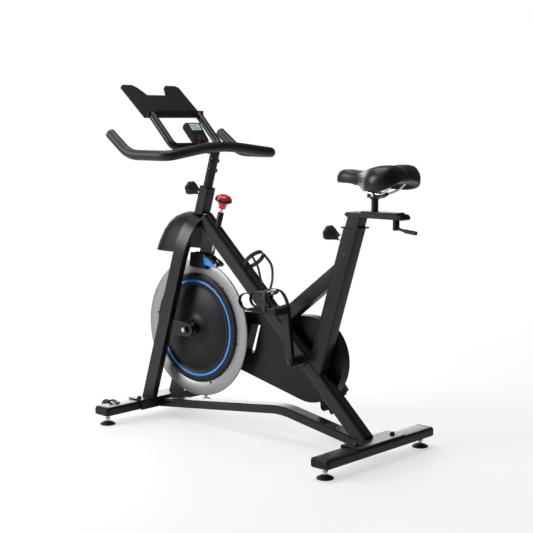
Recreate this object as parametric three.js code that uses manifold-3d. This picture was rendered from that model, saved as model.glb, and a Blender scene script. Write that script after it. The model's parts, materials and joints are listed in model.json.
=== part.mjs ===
// An indoor cycling bike: a welded steel frame on two stabilizers, a belt driven flywheel with a magnetic
// brake, cranks with toe cages, a handlebar with a tablet rest and console, and a saddle that moves up,
// down, forward and back. Millimetres. +X is the rider's left, -Y the front, +Z up. Dimensions are drawn
// from a zero midway between the front and rear feet; the group's own position then puts the finished
// bike's zero at the middle of its whole length.
import * as THREE from 'three';
import { mergeVertices } from 'three/addons/utils/BufferGeometryUtils.js';
import Module from 'manifold-3d';

const wasm = await Module();
wasm.setup();

// ---------------------------------------------------------------- driving dimensions
const GAP = 0.3; // left between pieces that touch
const LENGTH_MIDDLE = 32.7; // Y of the middle of the whole length, in the drawing frame

const FOOT = { x: 248, y: 502, padRadius: 27 };
const STABILIZER = { half: 262, depth: 70, low: 36, high: 68, wall: 2.5, capLength: 18 };
const WHEEL = { x: 205, y: -560, z: 55, radius: 20, width: 14 };
const BEAM = { half: 30, railHalf: 22, height: 28, rail: 4, wall: 3 };
const BASE_PLATE = { half: 122, top: 73 };

const MAIN = { y: -128, z: 584, slope: 43.23, half: 25, body: 47, railHalf: 13, height: 54, wall: 2.5 };
const SEAT_TUBE = { y: 401, z: 703, lean: 17.33, width: 45, depth: 58, wall: 2.5, top: 740.5 };
const BRACE = { y: 190, z: 474.4, slope: 37.5, width: 40, depth: 47, wall: 2.5 };
const FORK = { y: -477, z: 77, lean: 17.4, outer: 80, thick: 25, depth: 50, wall: 2.5, straight: 540,
  top: 703 };
const HEAD = { y: -254, z: 800, lean: 17, width: 42.5, depth: 40, low: 752, high: 846.5, postRadius: 16.9 };

const FLYWHEEL = { y: -286.7, z: 344.6, radius: 244, left: 12, right: 4, hubRight: -10 };
const CRANK = { y: 213, z: 297, length: 175, lean: 6, inner: 72, outer: 88, shellRadius: 22 };
const PULLEY = { left: -44, right: -60, bigRadius: 104, smallRadius: 26 };
const GUARD = { rear: [198, 287], rearRadius: 146, front: [-283, 330],
  frontRadius: 78, left: -31, middle: -50,
  right: -69, wall: 2.5 };
const PEDAL = { width: 66, length: 57, height: 23, inner: 97, spindle: 6.5, rightTilt: -50 };

const BAR = { y: -180, z: 994.5, radius: 17.6 };
const REST = { y: -404, z: 1089, lean: 49.6, half: 143.5, lip: 136, length: 177, thick: 4 };
const SEAT_RAIL = { front: 390, rear: 596, low: 777.5, high: 793, half: 25 };
const SADDLE_POST = { y: 491.5, radius: 11.1 };

const STEEL = { color: 0x35373a, roughness: 0.42, metalness: 0.55 };
const PLASTIC = { color: 0x141516, roughness: 0.5, metalness: 0 };
const RUBBER = { color: 0x101010, roughness: 0.85, metalness: 0 };
const BRIGHT = { color: 0xc9cbcd, roughness: 0.3, metalness: 1 };
const FOAM = { color: 0x1b1c1d, roughness: 0.9, metalness: 0 };
const RED = { color: 0xc81420, roughness: 0.35, metalness: 0 };
const SCREEN = { color: 0xc8e4da, roughness: 0.2, metalness: 0 };

const rad = (degrees) => THREE.MathUtils.degToRad(degrees);
const bike = new THREE.Group();
bike.position.y = -LENGTH_MIDDLE;

// ---------------------------------------------------------------- solids
// A closed geometry as a solid, with its faces turned outward.
function solid(geometry) {
  geometry.deleteAttribute('normal');
  geometry.deleteAttribute('uv');
  const merged = mergeVertices(geometry, 1e-4);
  const place = merged.attributes.position;
  const corner = [0, 1, 2].map(() => new THREE.Vector3());
  const faces = [];
  let volume = 0;
  for (let i = 0; i < merged.index.count; i += 3) {
    const [a, b, c] = [0, 1, 2].map((k) => merged.index.getX(i + k));
    if (a === b || b === c || c === a) continue;
    [a, b, c].forEach((vertex, k) => corner[k].fromBufferAttribute(place, vertex));
    volume += corner[0].dot(corner[1].clone().cross(corner[2]));
    faces.push([a, b, c]);
  }
  const order = volume < 0 ? faces.map(([a, b, c]) => [a, c, b]) : faces;
  const triVerts = new Uint32Array(order.flat());
  const vertProperties = new Float32Array(place.array);
  return new wasm.Manifold(new wasm.Mesh({ numProp: 3, vertProperties, triVerts }));
}

function addPiece(name, body, finish) {
  const mesh = body.getMesh();
  const geometry = new THREE.BufferGeometry();
  geometry.setAttribute('position', new THREE.BufferAttribute(mesh.vertProperties, 3));
  geometry.setIndex(new THREE.BufferAttribute(mesh.triVerts, 1));
  const piece = new THREE.Mesh(geometry, new THREE.MeshStandardMaterial(finish));
  piece.name = name;
  bike.add(piece);
}

const join = (first, ...others) => others.reduce((whole, other) => whole.add(other), first);
const cut = (first, ...tools) => tools.reduce((whole, tool) => whole.subtract(tool), first);
const largest = (body) => body.decompose().sort((a, b) => b.volume() - a.volume())[0];

// Turns a geometry drawn in its own X, Y, Z so that X and Y lie along the given directions.
function turnTo(geometry, origin, xAxis, yAxis) {
  const zAxis = new THREE.Vector3().crossVectors(xAxis, yAxis);
  geometry.applyMatrix4(new THREE.Matrix4().makeBasis(xAxis, yAxis, zAxis).setPosition(...origin));
  return solid(geometry);
}

const SIDEWAYS = new THREE.Vector3(1, 0, 0);
const BACKWARD = new THREE.Vector3(0, 1, 0);
const UPWARD = new THREE.Vector3(0, 0, 1);

function acrossOf(along) {
  const across = Math.abs(along.x) > 0.9 ? BACKWARD.clone() : SIDEWAYS.clone();
  return across.addScaledVector(along, -across.dot(along)).normalize();
}

// A shape drawn in Y, Z and given a width along X.
function slab(shape, oneX, otherX, curveSegments = 6) {
  const low = Math.min(oneX, otherX);
  const depth = Math.abs(otherX - oneX);
  const geometry = new THREE.ExtrudeGeometry(shape, { depth, curveSegments, bevelEnabled: false });
  return turnTo(geometry, [low, 0, 0], BACKWARD, UPWARD);
}

// A shape drawn across the line from start to end, its own X sideways.
function prism(shape, start, end, curveSegments = 3) {
  const along = new THREE.Vector3(...end).sub(new THREE.Vector3(...start));
  const depth = along.length();
  along.normalize();
  const across = acrossOf(along);
  const geometry = new THREE.ExtrudeGeometry(shape, { depth, curveSegments, bevelEnabled: false });
  return turnTo(geometry, start, across, new THREE.Vector3().crossVectors(along, across));
}

const rod = (start, end, radius, halfSides = 6) => prism(circle(radius), start, end, halfSides);

function box(low, high) {
  const size = high.map((value, i) => value - low[i]);
  const geometry = new THREE.BoxGeometry(...size);
  geometry.translate(...low.map((value, i) => value + size[i] / 2));
  return solid(geometry);
}

// A profile of [radius, distance along the axis], turned round an axis from start towards along.
function turned(profile, start, along, sides = 32) {
  const axis = new THREE.Vector3(...along).normalize();
  const points = profile.map(([radius, distance]) => new THREE.Vector2(radius, distance));
  return turnTo(new THREE.LatheGeometry(points, sides), start, acrossOf(axis), axis);
}

// A round bar along a path of steps.
function bent(path, radius, steps, halfSides = 6) {
  const settings = { steps, extrudePath: path, curveSegments: halfSides, bevelEnabled: false };
  return solid(new THREE.ExtrudeGeometry(circle(radius), settings));
}

// A skin over rings of equal length, closed at both ends.
function loft(rings) {
  const count = rings[0].length;
  const corners = rings.flat();
  const index = [];
  for (let r = 0; r + 1 < rings.length; r += 1) {
    for (let i = 0; i < count; i += 1) {
      const [a, b] = [r * count + i, r * count + ((i + 1) % count)];
      index.push(a, b, b + count, a, b + count, a + count);
    }
  }
  const last = (rings.length - 1) * count;
  for (let i = 1; i + 1 < count; i += 1) {
    index.push(0, i + 1, i, last, last + i, last + i + 1);
  }
  const geometry = new THREE.BufferGeometry();
  geometry.setAttribute('position', new THREE.Float32BufferAttribute(corners.flat(), 3));
  geometry.setIndex(index);
  return solid(geometry);
}

// ---------------------------------------------------------------- shapes and paths
const outline = (points) => new THREE.Shape(points.map(([x, y]) => new THREE.Vector2(x, y)));

function circle(radius, x = 0, y = 0) {
  const shape = new THREE.Shape();
  shape.absarc(x, y, radius, 0, 2 * Math.PI);
  return shape;
}

function roundedBox(width, height, radius) {
  const [x, y] = [width / 2 - radius, height / 2 - radius];
  const shape = new THREE.Shape();
  shape.absarc(x, y, radius, 0, Math.PI / 2);
  shape.absarc(-x, y, radius, Math.PI / 2, Math.PI);
  shape.absarc(-x, -y, radius, Math.PI, 1.5 * Math.PI);
  shape.absarc(x, -y, radius, 1.5 * Math.PI, 2 * Math.PI);
  return shape;
}

// The outline round two circles, like a belt round two pulleys.
function roundTwo([x1, y1], r1, [x2, y2], r2) {
  const heading = Math.atan2(y2 - y1, x2 - x1);
  const touch = Math.acos((r1 - r2) / Math.hypot(x2 - x1, y2 - y1));
  const shape = new THREE.Shape();
  shape.absarc(x1, y1, r1, heading + touch, heading + 2 * Math.PI - touch);
  shape.absarc(x2, y2, r2, heading - touch, heading + touch);
  return shape;
}

// The section of the ribbed tubes: a body with a narrower rail along its top. Its own zero is the bottom.
function ribbed(half, body, railHalf, height, grow = 0, bevel = 5) {
  const right = [
    [half + grow - bevel, -grow], [half + grow, bevel - grow], [half + grow, body + grow - bevel],
    [half + grow - bevel, body + grow], [railHalf + grow, body + grow],
    [railHalf + grow, height + grow - 3], [railHalf + grow - 3, height + grow],
  ];
  return outline([...right, ...right.map(([x, y]) => [-x, y]).reverse()]);
}

// A strip of even thickness along a row of points.
function strip(points, thickness) {
  const side = (sign) => points.map(([x, y], i) => {
    const [x0, y0] = points[Math.max(i - 1, 0)];
    const [x1, y1] = points[Math.min(i + 1, points.length - 1)];
    const length = Math.hypot(x1 - x0, y1 - y0);
    const reach = (sign * thickness) / 2 / length;
    return [x - (y1 - y0) * reach, y + (x1 - x0) * reach];
  });
  return outline([...side(1), ...side(-1).reverse()]);
}

// A path through corner points [x, y, z, ease], each inner corner rounded off from its ease away.
function roundedPath(corners) {
  const points = corners.map(([x, y, z]) => new THREE.Vector3(x, y, z));
  const path = new THREE.CurvePath();
  let from = points[0];
  for (let i = 1; i + 1 < points.length; i += 1) {
    const ease = corners[i][3];
    const before = points[i - 1].clone().sub(points[i]).setLength(ease).add(points[i]);
    const after = points[i + 1].clone().sub(points[i]).setLength(ease).add(points[i]);
    path.add(new THREE.LineCurve3(from, before));
    path.add(new THREE.QuadraticBezierCurve3(before, points[i], after));
    from = after;
  }
  path.add(new THREE.LineCurve3(from, points.at(-1)));
  return path;
}

// A point and direction of a leaning tube's own line, at height z.
const leanY = (tube, z) => tube.y + Math.tan(rad(tube.lean)) * (z - tube.z);
const leanPoint = (tube, z) => [0, leanY(tube, z), z];
const leanUp = (tube) => [0, Math.sin(rad(tube.lean)), Math.cos(rad(tube.lean))];
const leanFront = (tube) => [0, -Math.cos(rad(tube.lean)), Math.sin(rad(tube.lean))];
const shift = (point, direction, distance) => point.map((value, i) => value + direction[i] * distance);

// ---------------------------------------------------------------- base
function stabilizerTube() {
  const section = roundedBox(STABILIZER.depth, STABILIZER.high - STABILIZER.low, 9);
  section.holes.push(roundedBox(STABILIZER.depth - 5, STABILIZER.high - STABILIZER.low - 5, 6.5));
  return section;
}

function stabilizerAt(y) {
  const z = (STABILIZER.low + STABILIZER.high) / 2;
  const tube = prism(stabilizerTube(), [-STABILIZER.half, y, z], [STABILIZER.half, y, z]);
  const holes = [-1, 1].map((side) => {
    const x = side * FOOT.x;
    return rod([x, y, STABILIZER.low - 1], [x, y, STABILIZER.low + 5], 5.4, 6);
  });
  return cut(tube, ...holes);
}

function wheelForks() {
  const halfWidth = WHEEL.width / 2 + 1;
  const shape = outline([[-535.5, 46], [-535.5, 62], [-564, 63], [-568, 55], [-564, 47]]);
  return [-1, 1].flatMap((side) => {
    const x = side * WHEEL.x;
    const pin = rod([x - halfWidth - 3, WHEEL.y, WHEEL.z], [x + halfWidth + 3, WHEEL.y, WHEEL.z], 3, 5);
    return [slab(shape, x - halfWidth - 4, x - halfWidth), slab(shape, x + halfWidth, x + halfWidth + 4),
      pin];
  });
}

function endCap(side, y) {
  const z = (STABILIZER.low + STABILIZER.high) / 2;
  const section = roundedBox(STABILIZER.depth, STABILIZER.high - STABILIZER.low, 9);
  const settings = { depth: STABILIZER.capLength - 7, curveSegments: 3, bevelThickness: 7, bevelSize: 5,
    bevelOffset: -5, bevelSegments: 1 };
  const geometry = new THREE.ExtrudeGeometry(section, settings);
  const start = [side * (STABILIZER.half + GAP), y, z];
  const body = turnTo(geometry, start, BACKWARD.clone().multiplyScalar(side), UPWARD);
  const inside = side * (STABILIZER.half + GAP);
  return cut(body, box([Math.min(inside, 0), y - 50, 0], [Math.max(inside, 0), y + 50, 90]));
}

function levellingFoot(x, y) {
  const profile = [[0, 0], [24, 0], [FOOT.padRadius, 2], [FOOT.padRadius, 5], [20, 9], [9, 13], [9, 18],
    [4.8, 20], [4.8, 52], [0, 52]];
  return turned(profile, [x, y, 0], [0, 0, 1], 14);
}

function transportWheel(x) {
  const [half, rim] = [WHEEL.width / 2, WHEEL.radius];
  const profile = [[3.6, -half], [rim - 3, -half], [rim, 3 - half], [rim, half - 3], [rim - 3, half],
    [3.6, half], [3.6, -half]];
  return turned(profile, [x, WHEEL.y, WHEEL.z], [1, 0, 0], 16);
}

const beamTop = { front: [-462, 62], bend: [125, 128], rear: [462, 68] };

// The beam's long side, its top lowered by drop and its bottom raised by lift.
function beamSide(drop, lift) {
  const [front, bend, rear] = [beamTop.front, beamTop.bend, beamTop.rear];
  const ease = 45;
  const shape = new THREE.Shape();
  const low = lift - BEAM.height;
  shape.moveTo(front[0], front[1] - drop);
  shape.lineTo(bend[0] - ease, bend[1] - 5 - drop);
  shape.quadraticCurveTo(bend[0], bend[1] + 1 - drop, bend[0] + ease, bend[1] - 8 - drop);
  shape.lineTo(rear[0], rear[1] - drop);
  shape.lineTo(rear[0], rear[1] + low);
  shape.lineTo(bend[0] + ease, bend[1] - 8 + low);
  shape.quadraticCurveTo(bend[0], bend[1] + 1 + low, bend[0] - ease, bend[1] - 5 + low);
  shape.lineTo(front[0], front[1] + low);
  return shape;
}

// The saddle plates welded to the beam's ends, each wrapped over one stabilizer.
function basePlate(direction) {
  const inner = 462;
  const edge = STABILIZER.depth / 2 + FOOT.y;
  const top = [[inner, BASE_PLATE.top - 4], [edge - 5, BASE_PLATE.top - 4], [edge - 5, BASE_PLATE.top],
    [inner - 2, BASE_PLATE.top], [inner - 2, STABILIZER.low], [inner + 4.4, STABILIZER.low],
    [inner + 4.4, STABILIZER.high + 0.5]];
  return slab(outline(top.map(([y, z]) => [direction * y, z])), -BASE_PLATE.half, BASE_PLATE.half);
}

function baseBeam(hollow) {
  const body = slab(beamSide(BEAM.rail, 0), -BEAM.half, BEAM.half);
  const rail = slab(beamSide(0, BEAM.height - 12), -BEAM.railHalf, BEAM.railHalf);
  const whole = join(body, rail);
  if (!hollow) return whole;
  const inside = slab(beamSide(BEAM.rail + BEAM.wall, BEAM.wall), BEAM.wall - BEAM.half,
    BEAM.half - BEAM.wall);
  const drain = rod([0, 125, 80], [0, 125, 110], 4, 5);
  return join(cut(whole, inside, drain), basePlate(-1), basePlate(1));
}

// ---------------------------------------------------------------- frame tubes
const mainDown = [0, Math.cos(rad(MAIN.slope)), -Math.sin(rad(MAIN.slope))];
const mainUp = [0, Math.sin(rad(MAIN.slope)), Math.cos(rad(MAIN.slope))];
const onMain = (down, out) => shift(shift([0, MAIN.y, MAIN.z], mainDown, down), mainUp, out);

function mainTubeSolid(grow) {
  const section = ribbed(MAIN.half, MAIN.body, MAIN.railHalf, MAIN.height, grow);
  return prism(section, onMain(790, 0), onMain(-195, 0));
}

function mainTubeInside() {
  const inset = -MAIN.wall;
  const section = ribbed(MAIN.half, MAIN.body, MAIN.railHalf, MAIN.height, inset);
  return prism(section, onMain(800, 0), onMain(-205, 0));
}

function seatTubeSolid(grow, low, high, width = SEAT_TUBE.width, depth = SEAT_TUBE.depth, round = 6) {
  const section = roundedBox(width + 2 * grow, depth + 2 * grow, round);
  return prism(section, leanPoint(SEAT_TUBE, low), leanPoint(SEAT_TUBE, high));
}

const braceDown = [0, -Math.cos(rad(BRACE.slope)), -Math.sin(rad(BRACE.slope))];

function braceSolid(inset) {
  const section = roundedBox(BRACE.width - 2 * inset, BRACE.depth - 2 * inset, 5 - inset);
  const middle = [0, BRACE.y, BRACE.z];
  return prism(section, shift(middle, braceDown, 130), shift(middle, braceDown, -220));
}

// The fork's outline across and up its own lean, a flattened arch, drawn smaller by inset.
function archShape(inset) {
  const [half, rise] = [FORK.outer - inset, FORK.top - inset - FORK.straight];
  const points = [[half, -30]];
  const steps = 9;
  for (let i = 0; i <= steps; i += 1) {
    const turn = (i / steps) * (Math.PI / 2);
    points.push([half * Math.cos(turn) ** 0.91, FORK.straight + rise * Math.sin(turn) ** 0.91]);
  }
  const left = points.map(([x, s]) => [-x, s]).reverse().slice(1);
  return [...points, ...left];
}

function archSolid(inset, halfDepth) {
  const foot = [0, FORK.y, FORK.z];
  const start = shift(foot, leanFront(FORK), -halfDepth);
  const inner = archShape(FORK.thick - inset).reverse();
  const settings = { depth: 2 * halfDepth, bevelEnabled: false };
  const geometry = new THREE.ExtrudeGeometry(outline([...archShape(inset), ...inner]), settings);
  return turnTo(geometry, start, SIDEWAYS, new THREE.Vector3(...leanUp(FORK)));
}

function headSleeveSolid(grow) {
  const section = roundedBox(HEAD.width + 2 * grow, HEAD.depth + 2 * grow, 4);
  return prism(section, leanPoint(HEAD, HEAD.low - 30), leanPoint(HEAD, HEAD.high));
}

const resistanceAxis = { y: -173.5, z: 768, lean: 17 };
const sleeveBore = rod(leanPoint(resistanceAxis, 560), leanPoint(resistanceAxis, 790), 5.5, 6);
const shellBore = rod([-40, CRANK.y, CRANK.z], [40, CRANK.y, CRANK.z], CRANK.shellRadius + GAP, 10);
const floorBlock = box([-200, -700, -100], [200, 700, BASE_PLATE.top + GAP]);

function addFrame() {
  const beam = baseBeam(false);
  const arch = archSolid(0, FORK.depth / 2);
  const sleeve = headSleeveSolid(GAP);
  const beamClearance = beam.translate([0, 0, GAP]);
  const mainTube = cut(mainTubeSolid(0), mainTubeInside(), shellBore, sleeveBore, floorBlock, beamClearance,
    box([-60, -400, 600], [60, leanY(HEAD, 752) + 2, 900]), sleeve);
  addPiece('main_tube', mainTube, STEEL);
  const archGap = archSolid(-GAP, FORK.depth / 2 + GAP);
  const hollowArch = cut(arch, archSolid(FORK.wall, FORK.depth / 2 - FORK.wall), floorBlock);
  addPiece('front_fork', largest(cut(hollowArch, mainTubeSolid(GAP), sleeve)), STEEL);
  const headBore = rod(leanPoint(HEAD, HEAD.low - 40), leanPoint(HEAD, HEAD.high + 9), HEAD.postRadius + 0.4);
  const pinBore = rod(headPin(0), headPin(30), 5.3, 6);
  const belowHead = box([-60, -400, 600], [60, -150, HEAD.low]);
  addPiece('head_sleeve', cut(headSleeveSolid(0), headBore, pinBore, archGap, belowHead), STEEL);
  const seatInside = seatTubeSolid(-SEAT_TUBE.wall, 240, 770, SEAT_TUBE.width, SEAT_TUBE.depth, 4);
  const aboveSeatTube = box([-60, 300, SEAT_TUBE.top], [60, 500, 800]);
  const seatPin = rod(seatPinAt(0), seatPinAt(40), 5.3, 6);
  const seatTube = cut(seatTubeSolid(0, 256, 760), seatInside, mainTubeSolid(GAP), seatPin, aboveSeatTube);
  addPiece('seat_tube', seatTube, STEEL);
  const brace = cut(braceSolid(0), braceSolid(BRACE.wall), mainTubeSolid(GAP), seatTubeSolid(GAP, 250, 760));
  addPiece('brace_tube', largest(brace), STEEL);
  addPiece('base_beam', baseBeam(true), STEEL);
  addPiece('front_stabilizer', join(stabilizerAt(-FOOT.y), ...wheelForks()), STEEL);
  addPiece('rear_stabilizer', stabilizerAt(FOOT.y), STEEL);
  const shell = [[11, -30], [25, -30], [25, -25.3], [CRANK.shellRadius, -25.3], [CRANK.shellRadius, 25.3],
    [25, 25.3], [25, 30], [11, 30], [11, -30]];
  addPiece('bottom_bracket_shell', turned(shell, [0, CRANK.y, CRANK.z], [1, 0, 0], 20), STEEL);
}

function addBase() {
  for (const [end, y] of [['front', -FOOT.y], ['rear', FOOT.y]]) {
    for (const [side, sign] of [['left', 1], ['right', -1]]) {
      addPiece(`${end}_${side}_end_cap`, endCap(sign, y), PLASTIC);
      addPiece(`${end}_${side}_foot`, levellingFoot(sign * FOOT.x, y), RUBBER);
    }
  }
  addPiece('left_transport_wheel', transportWheel(WHEEL.x), PLASTIC);
  addPiece('right_transport_wheel', transportWheel(-WHEEL.x), PLASTIC);
}

// ---------------------------------------------------------------- covers on the frame
// The hood's level rings: height, half width at the fork and reach forward of it.
const hoodRings = [[618, 79, 127], [650, 76, 124], [690, 68, 117], [720, 55, 106], [740, 40, 88],
  [752, 22, 62],
  [757.5, 8, 40]];

function hoodRing([z, half, reach], inset) {
  const back = FORK.y - FORK.depth / 2 / Math.cos(rad(FORK.lean)) - GAP
    + Math.tan(rad(FORK.lean)) * (z - FORK.z);
  const steps = 12;
  const points = [];
  for (let i = 0; i <= steps; i += 1) {
    const turn = (i / steps) * Math.PI;
    const [c, s] = [Math.cos(turn), Math.sin(turn)];
    const x = Math.sign(c) * Math.max(half - inset, 1) * Math.abs(c) ** (2 / 3);
    points.push([x, back - Math.max(reach - inset, 1) * s ** (2 / 3), z]);
  }
  return points;
}

function hood() {
  const outer = loft(hoodRings.map((ring) => hoodRing(ring, 0)));
  const lowered = hoodRings.map(([z, half, reach]) => [z - 3, half, reach]);
  const inner = loft(lowered.map((ring) => hoodRing(ring, 3)));
  const under = box([-90, -520, 590], [90, -250, 617]);
  const backOff = box([-90, -300, 600], [90, -250, 622]);
  return cut(outer, inner.translate([0, 0.8, 0]), under, backOff);
}

function guardOutline(inset) {
  return roundTwo(GUARD.rear, GUARD.rearRadius - inset, GUARD.front, GUARD.frontRadius - inset);
}

// A window right through both covers, between the belt's two runs.
const guardWindow = slab(outline([[-91, 277], [-48, 277], [-19, 378], [-59, 378]]), 0, -90);
const frameOutline = outline([[-95, 273], [-44, 273], [-14, 382], [-63, 382]]);
const windowFrame = (left, right) => slab(frameOutline, left, right);

function guardHalf(plateFrom, plateTo, rimEnd, bores) {
  const skin = slab(guardOutline(0), plateFrom, rimEnd, 12);
  const hollow = slab(guardOutline(GUARD.wall), plateTo, rimEnd + Math.sign(rimEnd - plateTo), 12);
  return cut(join(cut(skin, hollow), windowFrame(plateFrom, rimEnd)), guardWindow, ...bores);
}

function addCovers() {
  addPiece('front_hood', hood(), PLASTIC);
  const crankHole = rod([0, CRANK.y, CRANK.z], [-90, CRANK.y, CRANK.z], 20, 10);
  const hubHole = rod([0, FLYWHEEL.y, FLYWHEEL.z], [-90, FLYWHEEL.y, FLYWHEEL.z], 19, 10);
  const left = guardHalf(GUARD.left, GUARD.left - GUARD.wall, GUARD.middle + GAP / 2, [crankHole, hubHole]);
  const right = guardHalf(GUARD.right, GUARD.right + GUARD.wall, GUARD.middle - GAP / 2, [crankHole,
    hubHole]);
  addPiece('belt_guard_inner', left, PLASTIC);
  addPiece('belt_guard_outer', right, PLASTIC);
  const [collarY, collarZ] = [leanY(SEAT_TUBE, SEAT_TUBE.top + 4), SEAT_TUBE.top + GAP];
  const collar = cut(box([-28, collarY - 36, collarZ], [28, collarY + 36, collarZ + 5]),
    seatTubeSolid(-2, 720, 770, SEAT_TUBE.width, SEAT_TUBE.depth, 5));
  addPiece('seat_tube_collar', collar, PLASTIC);
  for (const [name, side] of [['left_axle_bracket', 1], ['right_axle_bracket', -1]]) {
    const [inner, outer] = side > 0 ? [60, 68] : [-71.5, -79.5];
    const shape = roundTwo([FLYWHEEL.y + 8, FLYWHEEL.z - 1], 24.5, [FLYWHEEL.y - 84, FLYWHEEL.z + 1], 30);
    const plate = slab(shape, inner, outer);
    const axleHole = rod([inner - side, FLYWHEEL.y, FLYWHEEL.z], [outer + side, FLYWHEEL.y, FLYWHEEL.z], 8.4);
    addPiece(name, cut(plate, archSolid(-GAP, FORK.depth / 2 + GAP), axleHole), STEEL);
  }
}

// ---------------------------------------------------------------- flywheel and drive
const atWheel = [0, FLYWHEEL.y, FLYWHEEL.z];
const atCrank = [0, CRANK.y, CRANK.z];

function addDrive() {
  const { radius, left, right, hubRight } = FLYWHEEL;
  const wheel = [[9, hubRight], [26, hubRight], [30, right], [radius - 2, right], [radius, right + 2],
    [radius, left - 2], [radius - 2, left], [195, left], [190.5, left - 4], [30, left - 4], [26, left - 2],
    [9, left - 2], [9, hubRight]];
  addPiece('flywheel', turned(wheel, atWheel, [1, 0, 0], 48), BRIGHT);
  const cover = [[9, left - 1.6], [27, left - 1.6], [32, left - 3.6], [189, left - 3.6], [190, left + 0.3],
    [194.5, left + 0.3], [194, left + 5], [173, left + 6.5], [165, left + 6.5], [163, left + 4.5],
    [147, left + 4.5], [143, left + 7], [60, left + 9], [27, left + 12], [9, left + 12], [9, left - 1.6]];
  addPiece('flywheel_cover', turned(cover, atWheel, [1, 0, 0], 40), PLASTIC);
  const small = PULLEY.smallRadius;
  const driven = [[9, hubRight - GAP], [16, hubRight - GAP], [16, -40], [small + 3, -40], [small + 3, -42],
    [small, -43], [small, -61], [small + 3, -62], [small + 3, -64], [9, -64], [9, hubRight - GAP]];
  addPiece('driven_pulley', turned(driven, atWheel, [1, 0, 0], 24), BRIGHT);
  const axle = [[0, -94], [8, -94], [8, -89], [12, -89], [12, -80], [8, -80], [8, 68.4], [12, 68.4], [12, 77],
    [8, 77], [8, 82], [0, 82]];
  addPiece('flywheel_axle', turned(axle, atWheel, [1, 0, 0], 16), BRIGHT);
  const wide = PULLEY.left;
  const pulley = [[13.4, wide + 1], [PULLEY.bigRadius + 3, wide + 1], [PULLEY.bigRadius + 3, wide],
    [PULLEY.bigRadius, wide - 0.5], [PULLEY.bigRadius, PULLEY.right + 0.5],
    [PULLEY.bigRadius + 3, PULLEY.right],
    [PULLEY.bigRadius + 3, PULLEY.right - 1], [60, PULLEY.right - 1], [58, -54], [32, -54],
    [30, PULLEY.right - 1],
    [13.4, PULLEY.right - 1], [13.4, wide + 1]];
  addPiece('drive_pulley', turned(pulley, atCrank, [1, 0, 0], 32), PLASTIC);
  const around = (grow) => roundTwo([CRANK.y, CRANK.z], PULLEY.bigRadius + grow, [FLYWHEEL.y, FLYWHEEL.z],
    PULLEY.smallRadius + grow);
  const belt = cut(slab(around(2.5), -58.5, -45.5, 12), slab(around(GAP), -70, -30, 12));
  addPiece('drive_belt', belt, RUBBER);
  const spindle = [[0, -71.6], [9.6, -71.6], [9.6, -62], [13, -62], [13, -42], [9.6, -42], [9.6, 71.6],
    [0, 71.6]];
  addPiece('crank_axle', turned(spindle, atCrank, [1, 0, 0], 20), BRIGHT);
}

const crankTip = (side) => {
  const reach = side * CRANK.length;
  return [CRANK.y - reach * Math.sin(rad(CRANK.lean)), CRANK.z + reach * Math.cos(rad(CRANK.lean))];
};

function crankArm(side) {
  const [y, z] = crankTip(side);
  const arm = slab(roundTwo([CRANK.y, CRANK.z], 15.5, [y, z], 14), side * CRANK.inner, side * CRANK.outer, 8);
  const boss = rod([side * 40, CRANK.y, CRANK.z], [side * CRANK.inner, CRANK.y, CRANK.z], 15);
  const bore = rod([side * 30, CRANK.y, CRANK.z], [side * CRANK.inner, CRANK.y, CRANK.z], 9.95);
  const spindle = rod([side * 80, y, z], [side * 148, y, z], PEDAL.spindle, 6);
  const recess = rod([side * (CRANK.outer - 5), CRANK.y, CRANK.z], [side * 92, CRANK.y, CRANK.z], 10);
  const inward = side > 0 ? boss : rod([-64, CRANK.y, CRANK.z], [-CRANK.inner, CRANK.y, CRANK.z], 15);
  return cut(join(arm, inward, spindle), bore, recess);
}

// The pedals, cages and straps are drawn with the spindle along X through zero.
function pedalBody(side) {
  const [inner, outer] = [PEDAL.inner, PEDAL.inner + PEDAL.width];
  const [long, high] = [PEDAL.length / 2, PEDAL.height / 2];
  const profile = outline([[-long, -high + 4], [-long + 4, -high], [long - 4, -high], [long, -high + 4],
    [long, high - 4], [long - 4, high], [-long + 4, high], [-long, high - 4]]);
  const body = slab(profile, side * inner, side * outer);
  const windows = [-1, 1].flatMap((end) => {
    const [near, far] = [end * 11, end * (long - 6)];
    const [low, top] = [Math.min(near, far), Math.max(near, far)];
    return [[inner + 7, inner + 30], [inner + 36, outer - 7]].map(([a, b]) => (
      box([Math.min(side * a, side * b), low, -20], [Math.max(side * a, side * b), top, 20])));
  });
  const bore = rod([side * (inner - 1), 0, 0], [side * 150, 0, 0], PEDAL.spindle + 0.5, 6);
  return cut(body, ...windows, bore);
}

// The cage runs forward from the pedal, up round the toe and back over it.
const cageLine = [[-28.8, -8], [-60, -8], [-100, -4], [-120, 2], [-131, 14], [-132, 28], [-125, 40],
  [-108, 48],
  [-70, 53], [-30, 57], [-14, 57.5]];

function toeCage(side) {
  const [inner, outer] = [PEDAL.inner + 9, PEDAL.inner + PEDAL.width - 5];
  const band = slab(strip(cageLine, 4), side * inner, side * outer);
  const [windowNear, windowFar] = [side * (inner + 11), side * (outer - 11)];
  const [low, high] = [Math.min(windowNear, windowFar), Math.max(windowNear, windowFar)];
  const frontWindow = box([low, -140, 6], [high, -112, 36]);
  const topWindow = box([low, -100, 40], [high, -40, 70]);
  const floorWindow = box([low, -100, -20], [high, -45, 5]);
  return cut(band, frontWindow, topWindow, floorWindow);
}

// The strap's middle line over the cage: X, distance behind the pedal's spindle, height over it.
const strapLine = [[95, 26, -4], [95, 18, 26], [97, 4, 50], [105, -8, 63], [124, -16, 68], [145, -20, 67],
  [160, -22, 60], [165, -22, 46], [165, -20, -4]];

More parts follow.
